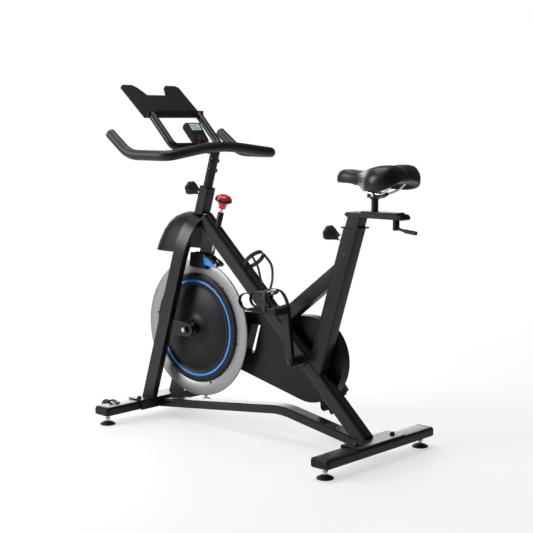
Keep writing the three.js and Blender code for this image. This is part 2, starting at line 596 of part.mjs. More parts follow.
function pedalStrap(side) {
  const [thick, wide] = [1.2, 7.5];
  const rings = strapLine.map(([x, behind, height], i) => {
    const before = strapLine[Math.max(i - 1, 0)];
    const after = strapLine[Math.min(i + 1, strapLine.length - 1)];
    const turn = Math.atan2(after[2] - before[2], after[0] - before[0]);
    const [outX, outZ] = [-thick * Math.sin(turn), thick * Math.cos(turn)];
    return [[1, -1], [1, 1], [-1, 1], [-1, -1]].map(([out, back]) => (
      [side * (x + out * outX), behind + back * wide, height + out * outZ]));
  });
  return loft(rings);
}

function addCranks() {
  for (const [name, side] of [['left', 1], ['right', -1]]) {
    const tilt = side > 0 ? 0 : PEDAL.rightTilt;
    const onCrank = (body) => body.rotate([tilt, 0, 0]).translate([0, ...crankTip(side)]);
    addPiece(`${name}_crank_arm`, crankArm(side), STEEL);
    addPiece(`${name}_pedal`, onCrank(pedalBody(side)), PLASTIC);
    addPiece(`${name}_toe_cage`, onCrank(toeCage(side)), PLASTIC);
    addPiece(`${name}_pedal_strap`, onCrank(pedalStrap(side)), RUBBER);
  }
}

// ---------------------------------------------------------------- brake
const brakePivot = [0, -181, 577.5];
const BRAKE = { left: 15, right: 1, block: 11, link: 5 };

function addBrake() {
  const sleeve = cut(rod(leanPoint(resistanceAxis, 690), leanPoint(resistanceAxis, 760), 11),
    rod(leanPoint(resistanceAxis, 650), leanPoint(resistanceAxis, 780), 5.5, 6), mainTubeSolid(GAP));
  addPiece('resistance_sleeve', largest(sleeve), STEEL);
  const up = leanUp(resistanceAxis);
  const knob = [[0, 10], [12, 10], [14, 15], [26, 20], [30, 27], [31, 35], [31, 45], [28, 52],
    [16, 57.5], [0, 59]];
  addPiece('resistance_knob', turned(knob, leanPoint(resistanceAxis, 766), up, 24), RED);
  addPiece('brake_rod', rod(leanPoint(resistanceAxis, 622), leanPoint(resistanceAxis, 774.2), 4.6, 6),
    BRIGHT);
  const cheek = outline([[-307.6, 566], [-302, 615], [-245, 614], [-240, 571], [-225, 571], [-225, 561],
    [-241, 560]]);
  const link = outline([[-250, 614], [-250, 597], [-244, 576], [-186, 569.5], [-176, 571], [-173, 579],
    [-178, 586], [-228, 608]]);
  const [leftEnd, rightEnd] = [BRAKE.left + BRAKE.block, BRAKE.right - BRAKE.block];
  const cheeks = [slab(cheek, BRAKE.left, leftEnd), slab(cheek, rightEnd, BRAKE.right)];
  const links = [slab(link, BRAKE.left, BRAKE.left + BRAKE.link), slab(link, rightEnd,
    rightEnd + BRAKE.link)];
  const bridge = box([rightEnd, -302, 597], [leftEnd, -245, 614]);
  const striker = box([rightEnd, -245, 597], [BRAKE.left, -210, 606]);
  const barrel = rod([rightEnd, ...brakePivot.slice(1)],
    [BRAKE.left + BRAKE.link, ...brakePivot.slice(1)], 7);
  addPiece('brake_arm', join(bridge, striker, barrel, ...cheeks, ...links), PLASTIC);
}

// ---------------------------------------------------------------- bottle cage
function bottleCage() {
  const rail = MAIN.height + GAP;
  const at = (down, out, x) => {
    const [, y, z] = onMain(down, out);
    return [x, y, z];
  };
  const spine = prism(outline([[-11, 0], [11, 0], [11, 5], [-11, 5]]), onMain(205, rail), onMain(30, rail));
  const ringCentre = at(62, rail + 38, 0);
  const ring = turned([[36, -7], [39, -7], [39, 7], [36, 7], [36, -7]], ringCentre, mainDown, 24);
  const neck = prism(outline([[-12, 0], [12, 0], [12, 6], [-12, 6]]), onMain(74, rail), onMain(50, rail));
  const loops = [1, -1].map((side) => bent(new THREE.CatmullRomCurve3([
    new THREE.Vector3(...at(62, rail + 62, side * 30)), new THREE.Vector3(...at(110, rail + 58, side * 34)),
    new THREE.Vector3(...at(150, rail + 30, side * 28)), new THREE.Vector3(...at(178, rail + 3, side * 8)),
  ]), 3, 12, 3));
  const tongue = slab(strip([[0, 0], [14, 5], [26, 12], [34, 20]], 6), -10, 10);
  const [, tongueY, tongueZ] = onMain(196, rail + 3);
  return cut(join(spine, ring, neck, ...loops, tongue.translate([0, tongueY, tongueZ])),
    mainTubeSolid(GAP / 2));
}

// ---------------------------------------------------------------- handlebar, rest and console
const leftLine = [[269, -443, 1035], [271, -343, 963, 40], [262, -160, 962, 40], [0, BAR.y, BAR.z, 110]];
const mirrored = (points) => points.map(([x, ...rest]) => [-x, ...rest]).reverse();
const barPath = () => roundedPath([...leftLine, ...mirrored(leftLine).slice(1)]);

const leftSupport = [[114.5, -401, 1100], [114.5, -291, 987, 24]];
const supportPath = () => roundedPath([...leftSupport, ...mirrored(leftSupport)]);

function handlebarSolid(grow) {
  const bar = bent(barPath(), BAR.radius + grow, 44, 5);
  const support = bent(supportPath(), 14 + grow, 22, 5);
  const gusset = outline([[-290, 978], [-290, 994], [BAR.y, BAR.z + 6], [BAR.y, BAR.z - 14],
    [BAR.y - 34, BAR.z - 32],
    [BAR.y - 54, BAR.z - 27]]);
  const gussets = [-1, 1].map((side) => slab(gusset, side * 18, side * 23));
  return join(bar, support, ...gussets);
}

function addHandlebar() {
  const post = cut(rod(leanPoint(HEAD, 762), leanPoint(HEAD, BAR.z - 4), HEAD.postRadius),
    rod(leanPoint(HEAD, 750), leanPoint(HEAD, BAR.z + 10), HEAD.postRadius - 2.5), handlebarSolid(GAP));
  const pinHoles = [0, 1, 2, 3].map((i) => {
    const from = shift(headPin(0), leanUp(HEAD), i * 30 - 30);
    return rod(from, shift(from, leanFront(HEAD), 20), 5.3, 6);
  });
  addPiece('handlebar_post', largest(cut(post, ...pinHoles)), STEEL);
  addPiece('handlebar', handlebarSolid(0), FOAM);
  addPiece('device_holder', deviceHolder(), STEEL);
  addConsole();
}

function deviceHolder() {
  const [half, top] = [REST.half, REST.length];
  const shape = outline([[-half, 0], [half, 0], [half, top - 14], [half - 18, top], [82, top], [64, top - 15],
    [45, top - 55], [-45, top - 55], [-64, top - 15], [-82, top], [12 - half, top], [-half, top - 10]]);
  const geometry = new THREE.ExtrudeGeometry(shape, { depth: REST.thick, bevelEnabled: false });
  const restUp = new THREE.Vector3(0, -Math.sin(rad(REST.lean)), Math.cos(rad(REST.lean)));
  const face = turnTo(geometry, [0, REST.y, REST.z], SIDEWAYS, restUp);
  const { y, z, thick, lip } = REST;
  const ledge = outline([[y - 5, z + 2], [y + 1, z - 2], [y + 5, z - 2], [y + 9, z + 2], [y + 9, z + 23],
    [y + 9 - thick, z + 23], [y + 9 - thick, z + 5], [y + 3, z + 2], [y - 3, z + 3]]);
  return cut(join(face, slab(ledge, -lip, lip)), handlebarSolid(GAP));
}

const consoleTop = [0, -313, 1072.6];
const consoleDown = [0, 0.608, -0.794];
const consoleOut = [0, 0.794, 0.608];
const onConsole = (down, out, x = 0) => shift(shift([x, ...consoleTop.slice(1)],
  consoleDown, down), consoleOut, out);

// A block on the console's face: its middle across and down, its size, and its reach below and above
// the face.
function consoleBlock(x, down, width, height, below, above) {
  const section = roundedBox(width, height, Math.min(width, height) / 4);
  const geometry = new THREE.ExtrudeGeometry(section, { depth: below + above, curveSegments: 3,
    bevelEnabled: false });
  return turnTo(geometry, onConsole(down, -below, x), SIDEWAYS, new THREE.Vector3(...consoleDown));
}

function addConsole() {
  const corners = [[4, 0], [0, -5], [0, -22], [5, -28], [70, -22], [84, -16], [84, -2], [82, 0]];
  const side = outline(corners.map(([down, out]) => onConsole(down, out).slice(1)));
  const screen = [0, 24, 50, 32];
  const buttons = [18, 0, -18].map((x) => [x, 56, 10, 8]);
  const seats = [consoleBlock(...screen.slice(0, 2), 50.8, 32.8, 2, 1),
    ...buttons.map(([x, down]) => consoleBlock(x, down, 11, 9, 4, 1))];
  addPiece('console_body', cut(slab(side, -33, 33), ...seats), PLASTIC);
  addPiece('console_screen', consoleBlock(...screen, 1.6, -0.2), SCREEN);
  buttons.forEach((button, i) => addPiece(`console_button_${i + 1}`, consoleBlock(...button, 2.4, 1.4),
    RUBBER));
}

// ---------------------------------------------------------------- pop pin knobs
const headPinZ = 817.5;
const seatPinZ = 693;
const headPin = (out) => shift(leanPoint(HEAD, headPinZ), leanFront(HEAD), out);
const seatPinAt = (out) => shift(leanPoint(SEAT_TUBE, seatPinZ), leanFront(SEAT_TUBE), out);

// A bell shaped knob on its pin. The pin's tip, the collar's face and the bell's narrow end are measured
// from the post's middle line.
function popPin(start, direction, tip, face, neck) {
  const bell = [[0, tip], [4.9, tip], [4.9, face], [9, face], [9, neck], [10, neck + 8], [13, neck + 14],
    [21, neck + 34], [25.5, neck + 46], [25.5, neck + 52], [18, neck + 58], [0, neck + 60]];
  return turned(bell, start, direction, 24);
}

function addKnobs() {
  addPiece('handlebar_knob', popPin(headPin(0), leanFront(HEAD), 17.6, HEAD.depth / 2 + GAP, 31.5), PLASTIC);
  addPiece('seat_knob', popPin(seatPinAt(0), leanFront(SEAT_TUBE), 28.2, SEAT_TUBE.depth / 2 + GAP, 46),
    PLASTIC);
}

// ---------------------------------------------------------------- seat
function addSeat() {
  const [low, high] = [SEAT_RAIL.low, SEAT_RAIL.high];
  const innerWidth = SEAT_TUBE.width - 2 * SEAT_TUBE.wall - 1;
  const innerDepth = SEAT_TUBE.depth - 2 * SEAT_TUBE.wall - 1;
  const tube = cut(seatTubeSolid(0, 560, low + 3, innerWidth, innerDepth, 4),
    seatTubeSolid(-2.5, 540, low - 2, innerWidth, innerDepth, 2.5),
    box([-60, 300, low + 2], [60, 520, 900]));
  const pinHoles = [0, 1, 2, 3, 4].map((i) => {
    const from = shift(seatPinAt(0), leanUp(SEAT_TUBE), -30 * i);
    return rod(from, shift(from, leanFront(SEAT_TUBE), 40), 5.3, 6);
  });
  const rail = slab(outline([[SEAT_RAIL.front, low + 7], [SEAT_RAIL.front + 10, low], [SEAT_RAIL.rear, low],
    [SEAT_RAIL.rear, high], [SEAT_RAIL.front + 8, high]]), -SEAT_RAIL.half, SEAT_RAIL.half);
  const groove = box([-18, 380, low + 4], [18, 620, high - 3]);
  const slot = box([-12.5, SEAT_RAIL.front + 20, low - 5], [12.5, SEAT_RAIL.rear - 6, high + 2]);
  addPiece('seat_post', cut(join(tube, cut(rail, groove)), slot, ...pinHoles), STEEL);

  const plate = box([-22, 452, high + GAP], [22, 590, high + 5.5]);
  const stem = box([-11.6, 484, low + 6], [11.6, 585, high + 1]);
  const foot = box([-17, 484, low + 5], [17, 585, high - 3.6]);
  const column = rod([0, SADDLE_POST.y, high + 3], [0, SADDLE_POST.y, 846], SADDLE_POST.radius, 12);
  const leverBore = rod([0, 574, low - 3], [0, 574, high + 10], 4.6, 6);
  addPiece('seat_slider', cut(join(plate, stem, foot, column), leverBore), STEEL);

  const stud = rod([0, 574, low - 20], [0, 574, high + 5], 4.2, 6);
  const hub = rod([0, 574, low - 34], [0, 574, low - 1], 10.5);
  const armPath = roundedPath([[0, 574, low - 26], [0, 605, low - 34, 12], [0, 645, low - 38]]);
  addPiece('slider_lever', join(stud, hub, bent(armPath, 4.5, 10, 4)), STEEL);

  const clamp = slab(outline([[476, 838], [476, 856], [482, 862], [522, 858], [530, 848],
    [512, 838]]), -22, 22);
  const clampBore = rod([0, SADDLE_POST.y, 820], [0, SADDLE_POST.y, 851], SADDLE_POST.radius + GAP, 12);
  const rails = [-1, 1].map((side) => bent(roundedPath([[side * 14, 398, 895], [side * 20, 470, 858, 20],
    [side * 20, 528, 852, 15], [side * 30, 560, 866, 12], [side * 36, 580, 886]]), 3.5, 18, 3));
  addPiece('saddle_rails', cut(join(clamp, ...rails), clampBore), BRIGHT);
  addPiece('saddle', cut(saddleSolid(), ...railSockets()), RUBBER);
}

// Where the chrome rails plug into the saddle's underside.
function railSockets() {
  return [-1, 1].flatMap((side) => [rod([side * 13.8, 395, 896.5], [side * 17.6, 431, 877.5], 4.5, 6),
    rod([side * 31.5, 565, 871], [side * 36.9, 583, 889], 4.5, 6)]);
}

// Stations from nose to tail: Y, half width, top, skirt bottom and underside heights.
const saddleStations = [[353, 14, 906, 888, 890], [360, 23, 919, 885, 890], [385, 29, 926, 884, 892],
  [420, 33, 924, 883, 892], [455, 44, 923, 876, 890], [490, 70, 930, 867, 888], [525, 94, 939, 863, 886],
  [560, 101, 944, 864, 886], [592, 94, 943, 872, 887], [610, 76, 932, 884, 892], [617, 48, 920, 895, 900]];

function saddleSolid() {
  return loft(saddleStations.map(([y, half, top, skirt, under]) => {
    const right = [[0, top - 5], [0.3 * half, top], [0.62 * half, top - 1], [0.88 * half, top - 10],
      [half, 0.5 * (top + skirt)], [0.97 * half, skirt + 3], [0.86 * half, skirt], [0.72 * half, under],
      [0, under]];
    const left = right.slice(1, -1).map(([x, z]) => [-x, z]).reverse();
    return [...right, ...left].map(([x, z]) => [x, y, z]);
  }));
}

addFrame();
addBase();
addCovers();
addDrive();
addCranks();
addBrake();
addPiece('bottle_cage', bottleCage(), PLASTIC);
addHandlebar();
addKnobs();
addSeat();

export default bike;
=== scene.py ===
import json
import math

import bmesh
import bpy
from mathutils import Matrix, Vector
from mathutils.geometry import tessellate_polygon


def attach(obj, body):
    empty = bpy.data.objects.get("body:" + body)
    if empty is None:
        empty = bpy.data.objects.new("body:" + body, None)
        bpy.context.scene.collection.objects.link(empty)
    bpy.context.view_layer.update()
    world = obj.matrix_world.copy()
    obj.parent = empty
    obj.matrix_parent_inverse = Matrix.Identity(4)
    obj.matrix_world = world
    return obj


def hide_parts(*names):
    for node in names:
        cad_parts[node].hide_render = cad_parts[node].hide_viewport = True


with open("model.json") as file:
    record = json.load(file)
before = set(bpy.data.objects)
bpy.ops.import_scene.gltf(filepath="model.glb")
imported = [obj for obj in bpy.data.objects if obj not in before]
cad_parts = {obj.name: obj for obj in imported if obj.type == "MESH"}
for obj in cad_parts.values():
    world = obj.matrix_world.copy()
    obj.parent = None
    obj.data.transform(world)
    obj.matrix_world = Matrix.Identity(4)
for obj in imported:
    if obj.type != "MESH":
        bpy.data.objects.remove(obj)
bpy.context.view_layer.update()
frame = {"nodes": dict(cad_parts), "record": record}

# Lengths are in millimetres, in the drawing frame of the CAD part, whose zero lies midway between the feet.
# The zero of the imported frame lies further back, at the middle of the bike's whole length.
LENGTH_MIDDLE = 32.7
X, Y, Z = Vector((1, 0, 0)), Vector((0, 1, 0)), Vector((0, 0, 1))
SIDES = ("left", 1), ("right", -1)

CAMERA_PLACE = (3075.9, 2821.7, 1088.8)
CAMERA_AZIMUTH, CAMERA_DROP, CAMERA_LENS = 132.15, 6.87, 83.66

# Places are (X, Y, Z), (Y, Z) on the middle plane, or Y alone. Pins and holes are heights. Leans are degrees
# from upright, and slopes are degrees from level.
FLYWHEEL = (0, -286.7, 344.6)
CRANK, CRANK_LENGTH, CRANK_LEAN = (0, 213, 297), 175, 6
HEAD, HEAD_LEAN, HEAD_PIN = (-254, 800), 17, 817.5
SEAT_TUBE, SEAT_LEAN, SEAT_PIN, SEAT_HOLE = (401, 703), 17.33, 693, 658
SEAT_TUBE_HALF_WIDTH = 22.5
MAIN_TUBE, MAIN_SLOPE = (-128, 584), 43.23
BRAKE_KNOB, BRAKE_LEAN = (0, -173.5, 768), 17
BRAKE_PIVOT = (-181, 577.5)
SADDLE_COLUMN, LEVER_PIVOT = 491.5, 574
FOOT_SPREAD, FOOT_REACH = 248, 502
WHEEL_SPREAD, WHEEL_AXLE = 205, (-560, 55)


# ---------------------------------------------------------------- geometry helpers
def at(x, y, z):
    """A point of the drawing frame in the frame's own metres."""
    return Vector((x, y - LENGTH_MIDDLE, z)) / 1000


def lean_up(degrees):
    """The way up something that leans back by some degrees."""
    return Vector((0, math.sin(math.radians(degrees)), math.cos(math.radians(degrees))))


def lean_front(degrees):
    """The way out of the front of something that leans back by some degrees."""
    return Vector((0, -math.cos(math.radians(degrees)), math.sin(math.radians(degrees))))


def on_head(z):
    """The point of the head's axis at a height."""
    return Vector((0, HEAD[0] + math.tan(math.radians(HEAD_LEAN)) * (z - HEAD[1]), z))


def on_seat_tube(z):
    """The point of the seat tube's axis at a height."""
    return Vector((0, SEAT_TUBE[0] + math.tan(math.radians(SEAT_LEAN)) * (z - SEAT_TUBE[1]), z))


def piece(name, points, faces, material, body, replaces=(), slot=None, bevel=0, smooth=40):
    """A mesh object from points in the drawing frame, riding on a body."""
    mesh = bpy.data.meshes.new(name)
    mesh.from_pydata([at(*p) for p in points], [], faces)
    shape = bmesh.new()
    shape.from_mesh(mesh)
    bmesh.ops.remove_doubles(shape, verts=shape.verts, dist=1e-6)
    bmesh.ops.recalc_face_normals(shape, faces=shape.faces)
    for edge in shape.edges:
        edge.smooth = len(edge.link_faces) == 2 and edge.calc_face_angle(0) < math.radians(smooth)
    for face in shape.faces:
        face.smooth = True
    shape.to_mesh(mesh)
    shape.free()
    obj = bpy.data.objects.new(name, mesh)
    bpy.context.scene.collection.objects.link(obj)
    mesh.materials.append(material)
    if bevel:
        add_bevel(obj, bevel)
    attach(obj, body)
    if replaces:
        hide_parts(*replaces)
    return obj


def add_bevel(obj, width):
    modifier = obj.modifiers.new("edges", "BEVEL")
    modifier.width = width / 1000
    modifier.segments = 3
    modifier.limit_method = "ANGLE"
    modifier.angle_limit = math.radians(35)
    modifier.harden_normals = True
    modifier.use_clamp_overlap = True


def basis(axis):
    """Two directions square to the axis, the first one sideways where it can be."""
    axis = Vector(axis).normalized()
    side = X if abs(axis.x) < 0.9 else Y
    side = (side - axis * side.dot(axis)).normalized()
    return side, axis.cross(side)


def grid_faces(rings, count, closed_ends=True):
    """Faces between rings of points, with a face over each end where the ends are closed."""
    faces = []
    for r in range(rings - 1):
        for i in range(count):
            a, b = r * count + i, r * count + (i + 1) % count
            faces.append((a, b, b + count, a + count))
    if closed_ends:
        faces.append(tuple(range(count - 1, -1, -1)))
        faces.append(tuple(range((rings - 1) * count, rings * count)))
    return faces


def turned(name, profile, start, axis, material, body, sides=64, **rest):
    """A profile of (radius, distance along the axis) turned round the axis."""
    axis = Vector(axis).normalized()
    side, other = basis(axis)
    points = []
    for radius, distance in profile:
        centre = Vector(start) + axis * distance
        for i in range(sides):
            turn = 2 * math.pi * i / sides
            points.append(centre + (side * math.cos(turn) + other * math.sin(turn)) * max(radius, 0.001))
    closed = profile[0] == profile[-1]
    faces = grid_faces(len(profile), sides, closed_ends=not closed)
    return piece(name, points, faces, material, body, **rest)


def section_circle(radius, sides=24):
    turns = [2 * math.pi * i / sides for i in range(sides)]
    return [(radius * math.cos(t), radius * math.sin(t)) for t in turns]


def section_box(width, height, radius, steps=4):
    corners = [(1, 1, 0), (-1, 1, 90), (-1, -1, 180), (1, -1, 270)]
    points = []
    for sx, sy, start in corners:
        for i in range(steps + 1):
            turn = math.radians(start + 90 * i / steps)
            x = sx * (width / 2 - radius) + radius * math.cos(turn)
            points.append((x, sy * (height / 2 - radius) + radius * math.sin(turn)))
    return points


def tangents_of(path):
    last = len(path) - 1
    return [(path[min(i + 1, last)] - path[max(i - 1, 0)]).normalized() for i in range(len(path))]


def swept(name, path, section, material, body, side=None, **rest):
    """A section carried along a path without twisting."""
    path = [Vector(p) for p in path]
    tangents = tangents_of(path)
    across = Vector(side) if side else basis(tangents[0])[0]
    points = []
    for place, tangent in zip(path, tangents):
        across = (across - tangent * across.dot(tangent)).normalized()
        up = tangent.cross(across)
        points += [place + across * u + up * v for u, v in section]
    return piece(name, points, grid_faces(len(path), len(section)), material, body, **rest)


def rounded_path(corners, steps=10):
    """Points along straight runs whose inner corners (x, y, z, ease) are eased into curves."""
    spots = [Vector(c[:3]) for c in corners]
    path = [spots[0]]
    for i in range(1, len(spots) - 1):
        ease = corners[i][3]
        before = spots[i] + (spots[i - 1] - spots[i]).normalized() * ease
        after = spots[i] + (spots[i + 1] - spots[i]).normalized() * ease
        for k in range(steps + 1):
            t = k / steps
            path.append(before * (1 - t) ** 2 + spots[i] * 2 * t * (1 - t) + after * t * t)
    return path + [spots[-1]]


def mirrored(corners):
    """The same corners on the other side, in reverse order."""
    return [(-c[0],) + tuple(c[1:]) for c in reversed(corners)]


def spline(points, steps=8):
    """A smooth line of points through the given ones, of any dimension."""
    spots = [Vector(p) for p in points]
    path = []
    for i in range(len(spots) - 1):
        a, b, c, d = spots[max(i - 1, 0)], spots[i], spots[i + 1], spots[min(i + 2, len(spots) - 1)]
        for k in range(steps):
            t = k / steps
            path.append(0.5 * (2 * b + (c - a) * t + (2 * a - 5 * b + 4 * c - d) * t * t
                               + (3 * b - a - 3 * c + d) * t ** 3))
    return path + [spots[-1]]


def plate(name, outlines, origin, across, up, thickness, material, body, **rest):
    """A flat plate from an outline and its holes, drawn across and up from the origin."""
    across, up = Vector(across).normalized(), Vector(up).normalized()
    normal = across.cross(up)
    flat = [Vector((u, v, 0)) for line in outlines for u, v in line]
    points = [Vector(origin) + across * p.x + up * p.y + normal * d for d in (0, thickness) for p in flat]
    caps = tessellate_polygon([[Vector((u, v, 0)) for u, v in line] for line in outlines])
    count = len(flat)
    faces = [tuple(t) for t in caps] + [tuple(i + count for i in t) for t in caps]
    first = 0
    for line in outlines:
        for i in range(len(line)):
            a, b = first + i, first + (i + 1) % len(line)
            faces.append((a, b, b + count, a + count))
        first += len(line)
    return piece(name, points, faces, material, body, **rest)


def arc(cx, cy, radius, start, end, steps):
    turns = [math.radians(start + (end - start) * i / steps) for i in range(steps + 1)]
    return [(cx + radius * math.cos(t), cy + radius * math.sin(t)) for t in turns]


def bolt(name, place, axis, radius, height, body, material, hexagon=False):
    """A domed bolt head with a socket, or a hexagon nut, standing on a face."""
    if hexagon:
        profile = [(radius, 0), (radius, height * 0.9), (radius * 0.9, height), (0, height)]
        return turned(name, profile, place, axis, material, body, sides=6, bevel=0.5, smooth=20)
    shares = [(1.35, 0), (1.35, 0.18), (1, 0.2), (1, 0.45), (0.85, 0.8), (0.5, 1), (0.42, 1), (0.42, 0.4),
              (0, 0.4)]
    profile = [(radius * wide, height * tall) for wide, tall in shares]
    return turned(name, profile, place, axis, material, body, sides=24)


# ---------------------------------------------------------------- materials
def nodes_of(name, colour, roughness, metallic=0.0):
    material = bpy.data.materials.new(name)
    material.use_nodes = True
    tree = material.node_tree
    shader = tree.nodes["Principled BSDF"]
    shader.inputs["Base Color"].default_value = (*colour, 1)
    shader.inputs["Roughness"].default_value = roughness
    shader.inputs["Metallic"].default_value = metallic
    return material, tree, shader


def noise(tree, scale, detail=3.0, stretch=(1, 1, 1)):
    place = tree.nodes.new("ShaderNodeTexCoord")
    mapping = tree.nodes.new("ShaderNodeMapping")
    mapping.inputs["Scale"].default_value = stretch
    texture = tree.nodes.new("ShaderNodeTexNoise")
    texture.inputs["Scale"].default_value = scale
    texture.inputs["Detail"].default_value = detail
    tree.links.new(place.outputs["Object"], mapping.inputs["Vector"])
    tree.links.new(mapping.outputs["Vector"], texture.inputs["Vector"])
    return texture.outputs["Fac"]


def vary(tree, source, low, high, socket):
    """Drives a shader value from a 0 to 1 pattern."""
    spread = tree.nodes.new("ShaderNodeMapRange")
    spread.inputs["From Min"].default_value = 0.3
    spread.inputs["From Max"].default_value = 0.7
    spread.inputs["To Min"].default_value = low
    spread.inputs["To Max"].default_value = high
    tree.links.new(source, spread.inputs["Value"])
    tree.links.new(spread.outputs["Result"], socket)


def tint(tree, source, dark, light, socket):
    """Drives a colour from a 0 to 1 pattern."""
    ramp = tree.nodes.new("ShaderNodeValToRGB")
    ramp.color_ramp.elements[0].position = 0.3
    ramp.color_ramp.elements[1].position = 0.7
    ramp.color_ramp.elements[0].color = (*dark, 1)
    ramp.color_ramp.elements[1].color = (*light, 1)
    tree.links.new(source, ramp.inputs["Fac"])
    tree.links.new(ramp.outputs["Color"], socket)


def bump(tree, shader, source, strength, distance):
    node = tree.nodes.new("ShaderNodeBump")
    node.inputs["Strength"].default_value = strength
    node.inputs["Distance"].default_value = distance
    tree.links.new(source, node.inputs["Height"])
    tree.links.new(node.outputs["Normal"], shader.inputs["Normal"])


def shade(colour, factor):
    return tuple(c * factor for c in colour)


def speckled(name, colour, roughness, metallic=0.0, grain=900, depth=0.00005, spread=0.03, contrast=0.1,
             coat=0.0, gloss=0.5):
    """A surface with fine grain in its height, colour and gloss."""
    material, tree, shader = nodes_of(name, colour, roughness, metallic)
    fine = noise(tree, grain, 4)
    broad = noise(tree, 7, 2)
    tint(tree, broad, shade(colour, 1 - contrast), shade(colour, 1 + contrast), shader.inputs["Base Color"])
    vary(tree, fine, roughness - spread, roughness + spread, shader.inputs["Roughness"])
    bump(tree, shader, fine, 0.15, depth)
    shader.inputs["Specular IOR Level"].default_value = gloss
    shader.inputs["Coat Weight"].default_value = coat
    shader.inputs["Coat Roughness"].default_value = 0.25
    return material


def paint_with_painted_edge_highlight(name, colour):
    """Satin powder coat: fine orange peel, and a painted highlight that lightens the colour along convex
    edges.
    """
    material = speckled(name, colour, 0.36, 0.4, grain=1400, depth=0.00003, spread=0.03)
    tree = material.node_tree
    shader = tree.nodes["Principled BSDF"]
    base = shader.inputs["Base Color"].links[0].from_socket
    # Painted highlight: where the surface is most convex, along its edges, the colour is mixed towards three
    # times as light.
    edge = tree.nodes.new("ShaderNodeNewGeometry").outputs["Pointiness"]
    edge_highlight_amount = tree.nodes.new("ShaderNodeMapRange")
    edge_highlight_amount.inputs["From Min"].default_value = 0.53
    edge_highlight_amount.inputs["From Max"].default_value = 0.6
    edge_highlight_amount.inputs["To Max"].default_value = 0.35
    mix = tree.nodes.new("ShaderNodeMix")
    mix.data_type = "RGBA"
    mix.inputs["B"].default_value = (*shade(colour, 3.0), 1)
    tree.links.new(edge, edge_highlight_amount.inputs["Value"])
    tree.links.new(edge_highlight_amount.outputs["Result"], mix.inputs["Factor"])
    tree.links.new(base, mix.inputs["A"])
    tree.links.new(mix.outputs["Result"], shader.inputs["Base Color"])
    return material


def brushed_round(name, colour, roughness, centre, spacing):
    """Metal with fine rings turned round an axis along X through the centre."""
    material, tree, shader = nodes_of(name, colour, roughness, 1.0)
    place = tree.nodes.new("ShaderNodeTexCoord")
    shifted = tree.nodes.new("ShaderNodeVectorMath")
    shifted.operation = "SUBTRACT"
    shifted.inputs[1].default_value = at(*centre)
    flat = tree.nodes.new("ShaderNodeVectorMath")
    flat.operation = "MULTIPLY"
    flat.inputs[1].default_value = (0, 1, 1)
    length = tree.nodes.new("ShaderNodeVectorMath")
    length.operation = "LENGTH"
    rings = tree.nodes.new("ShaderNodeTexNoise")
    rings.noise_dimensions = "1D"
    rings.inputs["Scale"].default_value = spacing
    rings.inputs["Detail"].default_value = 5
    tree.links.new(place.outputs["Object"], shifted.inputs[0])
    tree.links.new(shifted.outputs["Vector"], flat.inputs[0])
    tree.links.new(flat.outputs["Vector"], length.inputs[0])
    tree.links.new(length.outputs["Value"], rings.inputs["W"])
    vary(tree, rings.outputs["Fac"], roughness - 0.08, roughness + 0.1, shader.inputs["Roughness"])
    tint(tree, rings.outputs["Fac"], shade(colour, 0.86), shade(colour, 1.08), shader.inputs["Base Color"])
    bump(tree, shader, rings.outputs["Fac"], 0.25, 0.00005)
    return material


def leather(name, colour):
    """Soft vinyl: small pebbles under a satin finish."""
    material, tree, shader = nodes_of(name, colour, 0.36)
    place = tree.nodes.new("ShaderNodeTexCoord")
    pebbles = tree.nodes.new("ShaderNodeTexVoronoi")
    pebbles.inputs["Scale"].default_value = 900
    tree.links.new(place.outputs["Object"], pebbles.inputs["Vector"])
    broad = noise(tree, 25, 3)
    tint(tree, broad, shade(colour, 0.8), shade(colour, 1.3), shader.inputs["Base Color"])
    vary(tree, broad, 0.3, 0.42, shader.inputs["Roughness"])
    bump(tree, shader, pebbles.outputs["Distance"], 0.3, 0.00012)
    shader.inputs["Specular IOR Level"].default_value = 0.3
    shader.inputs["Sheen Weight"].default_value = 0.05
    return material


# The frame paint carries a painted highlight along its edges.
paint = paint_with_painted_edge_highlight("frame_paint", (0.009, 0.009, 0.0095))
plastic = speckled("black_plastic", (0.004, 0.004, 0.0045), 0.45, grain=1100, depth=0.00004, gloss=0.25)
gloss_plastic = speckled("gloss_black", (0.004, 0.004, 0.0045), 0.2, grain=500, depth=0.00002, spread=0.04)
rubber = speckled("rubber", (0.005, 0.005, 0.005), 0.6, grain=1500, depth=0.0001)
foam = speckled("grip_foam", (0.006, 0.006, 0.0065), 0.5, grain=2200, depth=0.00001, gloss=0.4)
steel = speckled("bare_steel", (0.5, 0.5, 0.52), 0.3, 1.0, grain=700, depth=0.00002)
chrome = speckled("chrome", (0.75, 0.75, 0.77), 0.1, 1.0, grain=300, depth=0.000005, contrast=0.04)
ring_steel = brushed_round("flywheel_steel", (0.31, 0.31, 0.315), 0.45, FLYWHEEL, 1400)
blue = speckled("blue_paint", (0.012, 0.25, 0.82), 0.28, grain=600, depth=0.00002, coat=0.4)
red = speckled("red_plastic", (0.72, 0.006, 0.01), 0.24, grain=500, depth=0.00002, coat=0.5)
vinyl = leather("saddle_vinyl", (0.005, 0.005, 0.0055))
lcd = speckled("lcd", (0.56, 0.78, 0.7), 0.22, grain=400, depth=0.00001, contrast=0.04)
ink = speckled("lcd_ink", (0.2, 0.32, 0.28), 0.4, grain=400, depth=0.00001)
dark_blue = speckled("button_blue", (0.01, 0.03, 0.12), 0.4)
dark_red = speckled("button_red", (0.22, 0.02, 0.015), 0.4)
orange = speckled("button_orange", (0.75, 0.4, 0.25), 0.4)
grey = speckled("button_grey", (0.3, 0.31, 0.33), 0.4)

CAD_FINISH = {
    "frame_paint": paint, "black_plastic": plastic, "dark_rubber": rubber, "bare_steel": steel,
    "chrome": chrome, "flywheel_steel": ring_steel, "saddle_cover": vinyl, "red_plastic": red, "screen": lcd,
}
EDGE_WIDTH = {"frame_paint": 1.6, "black_plastic": 1.4, "dark_rubber": 0.8}


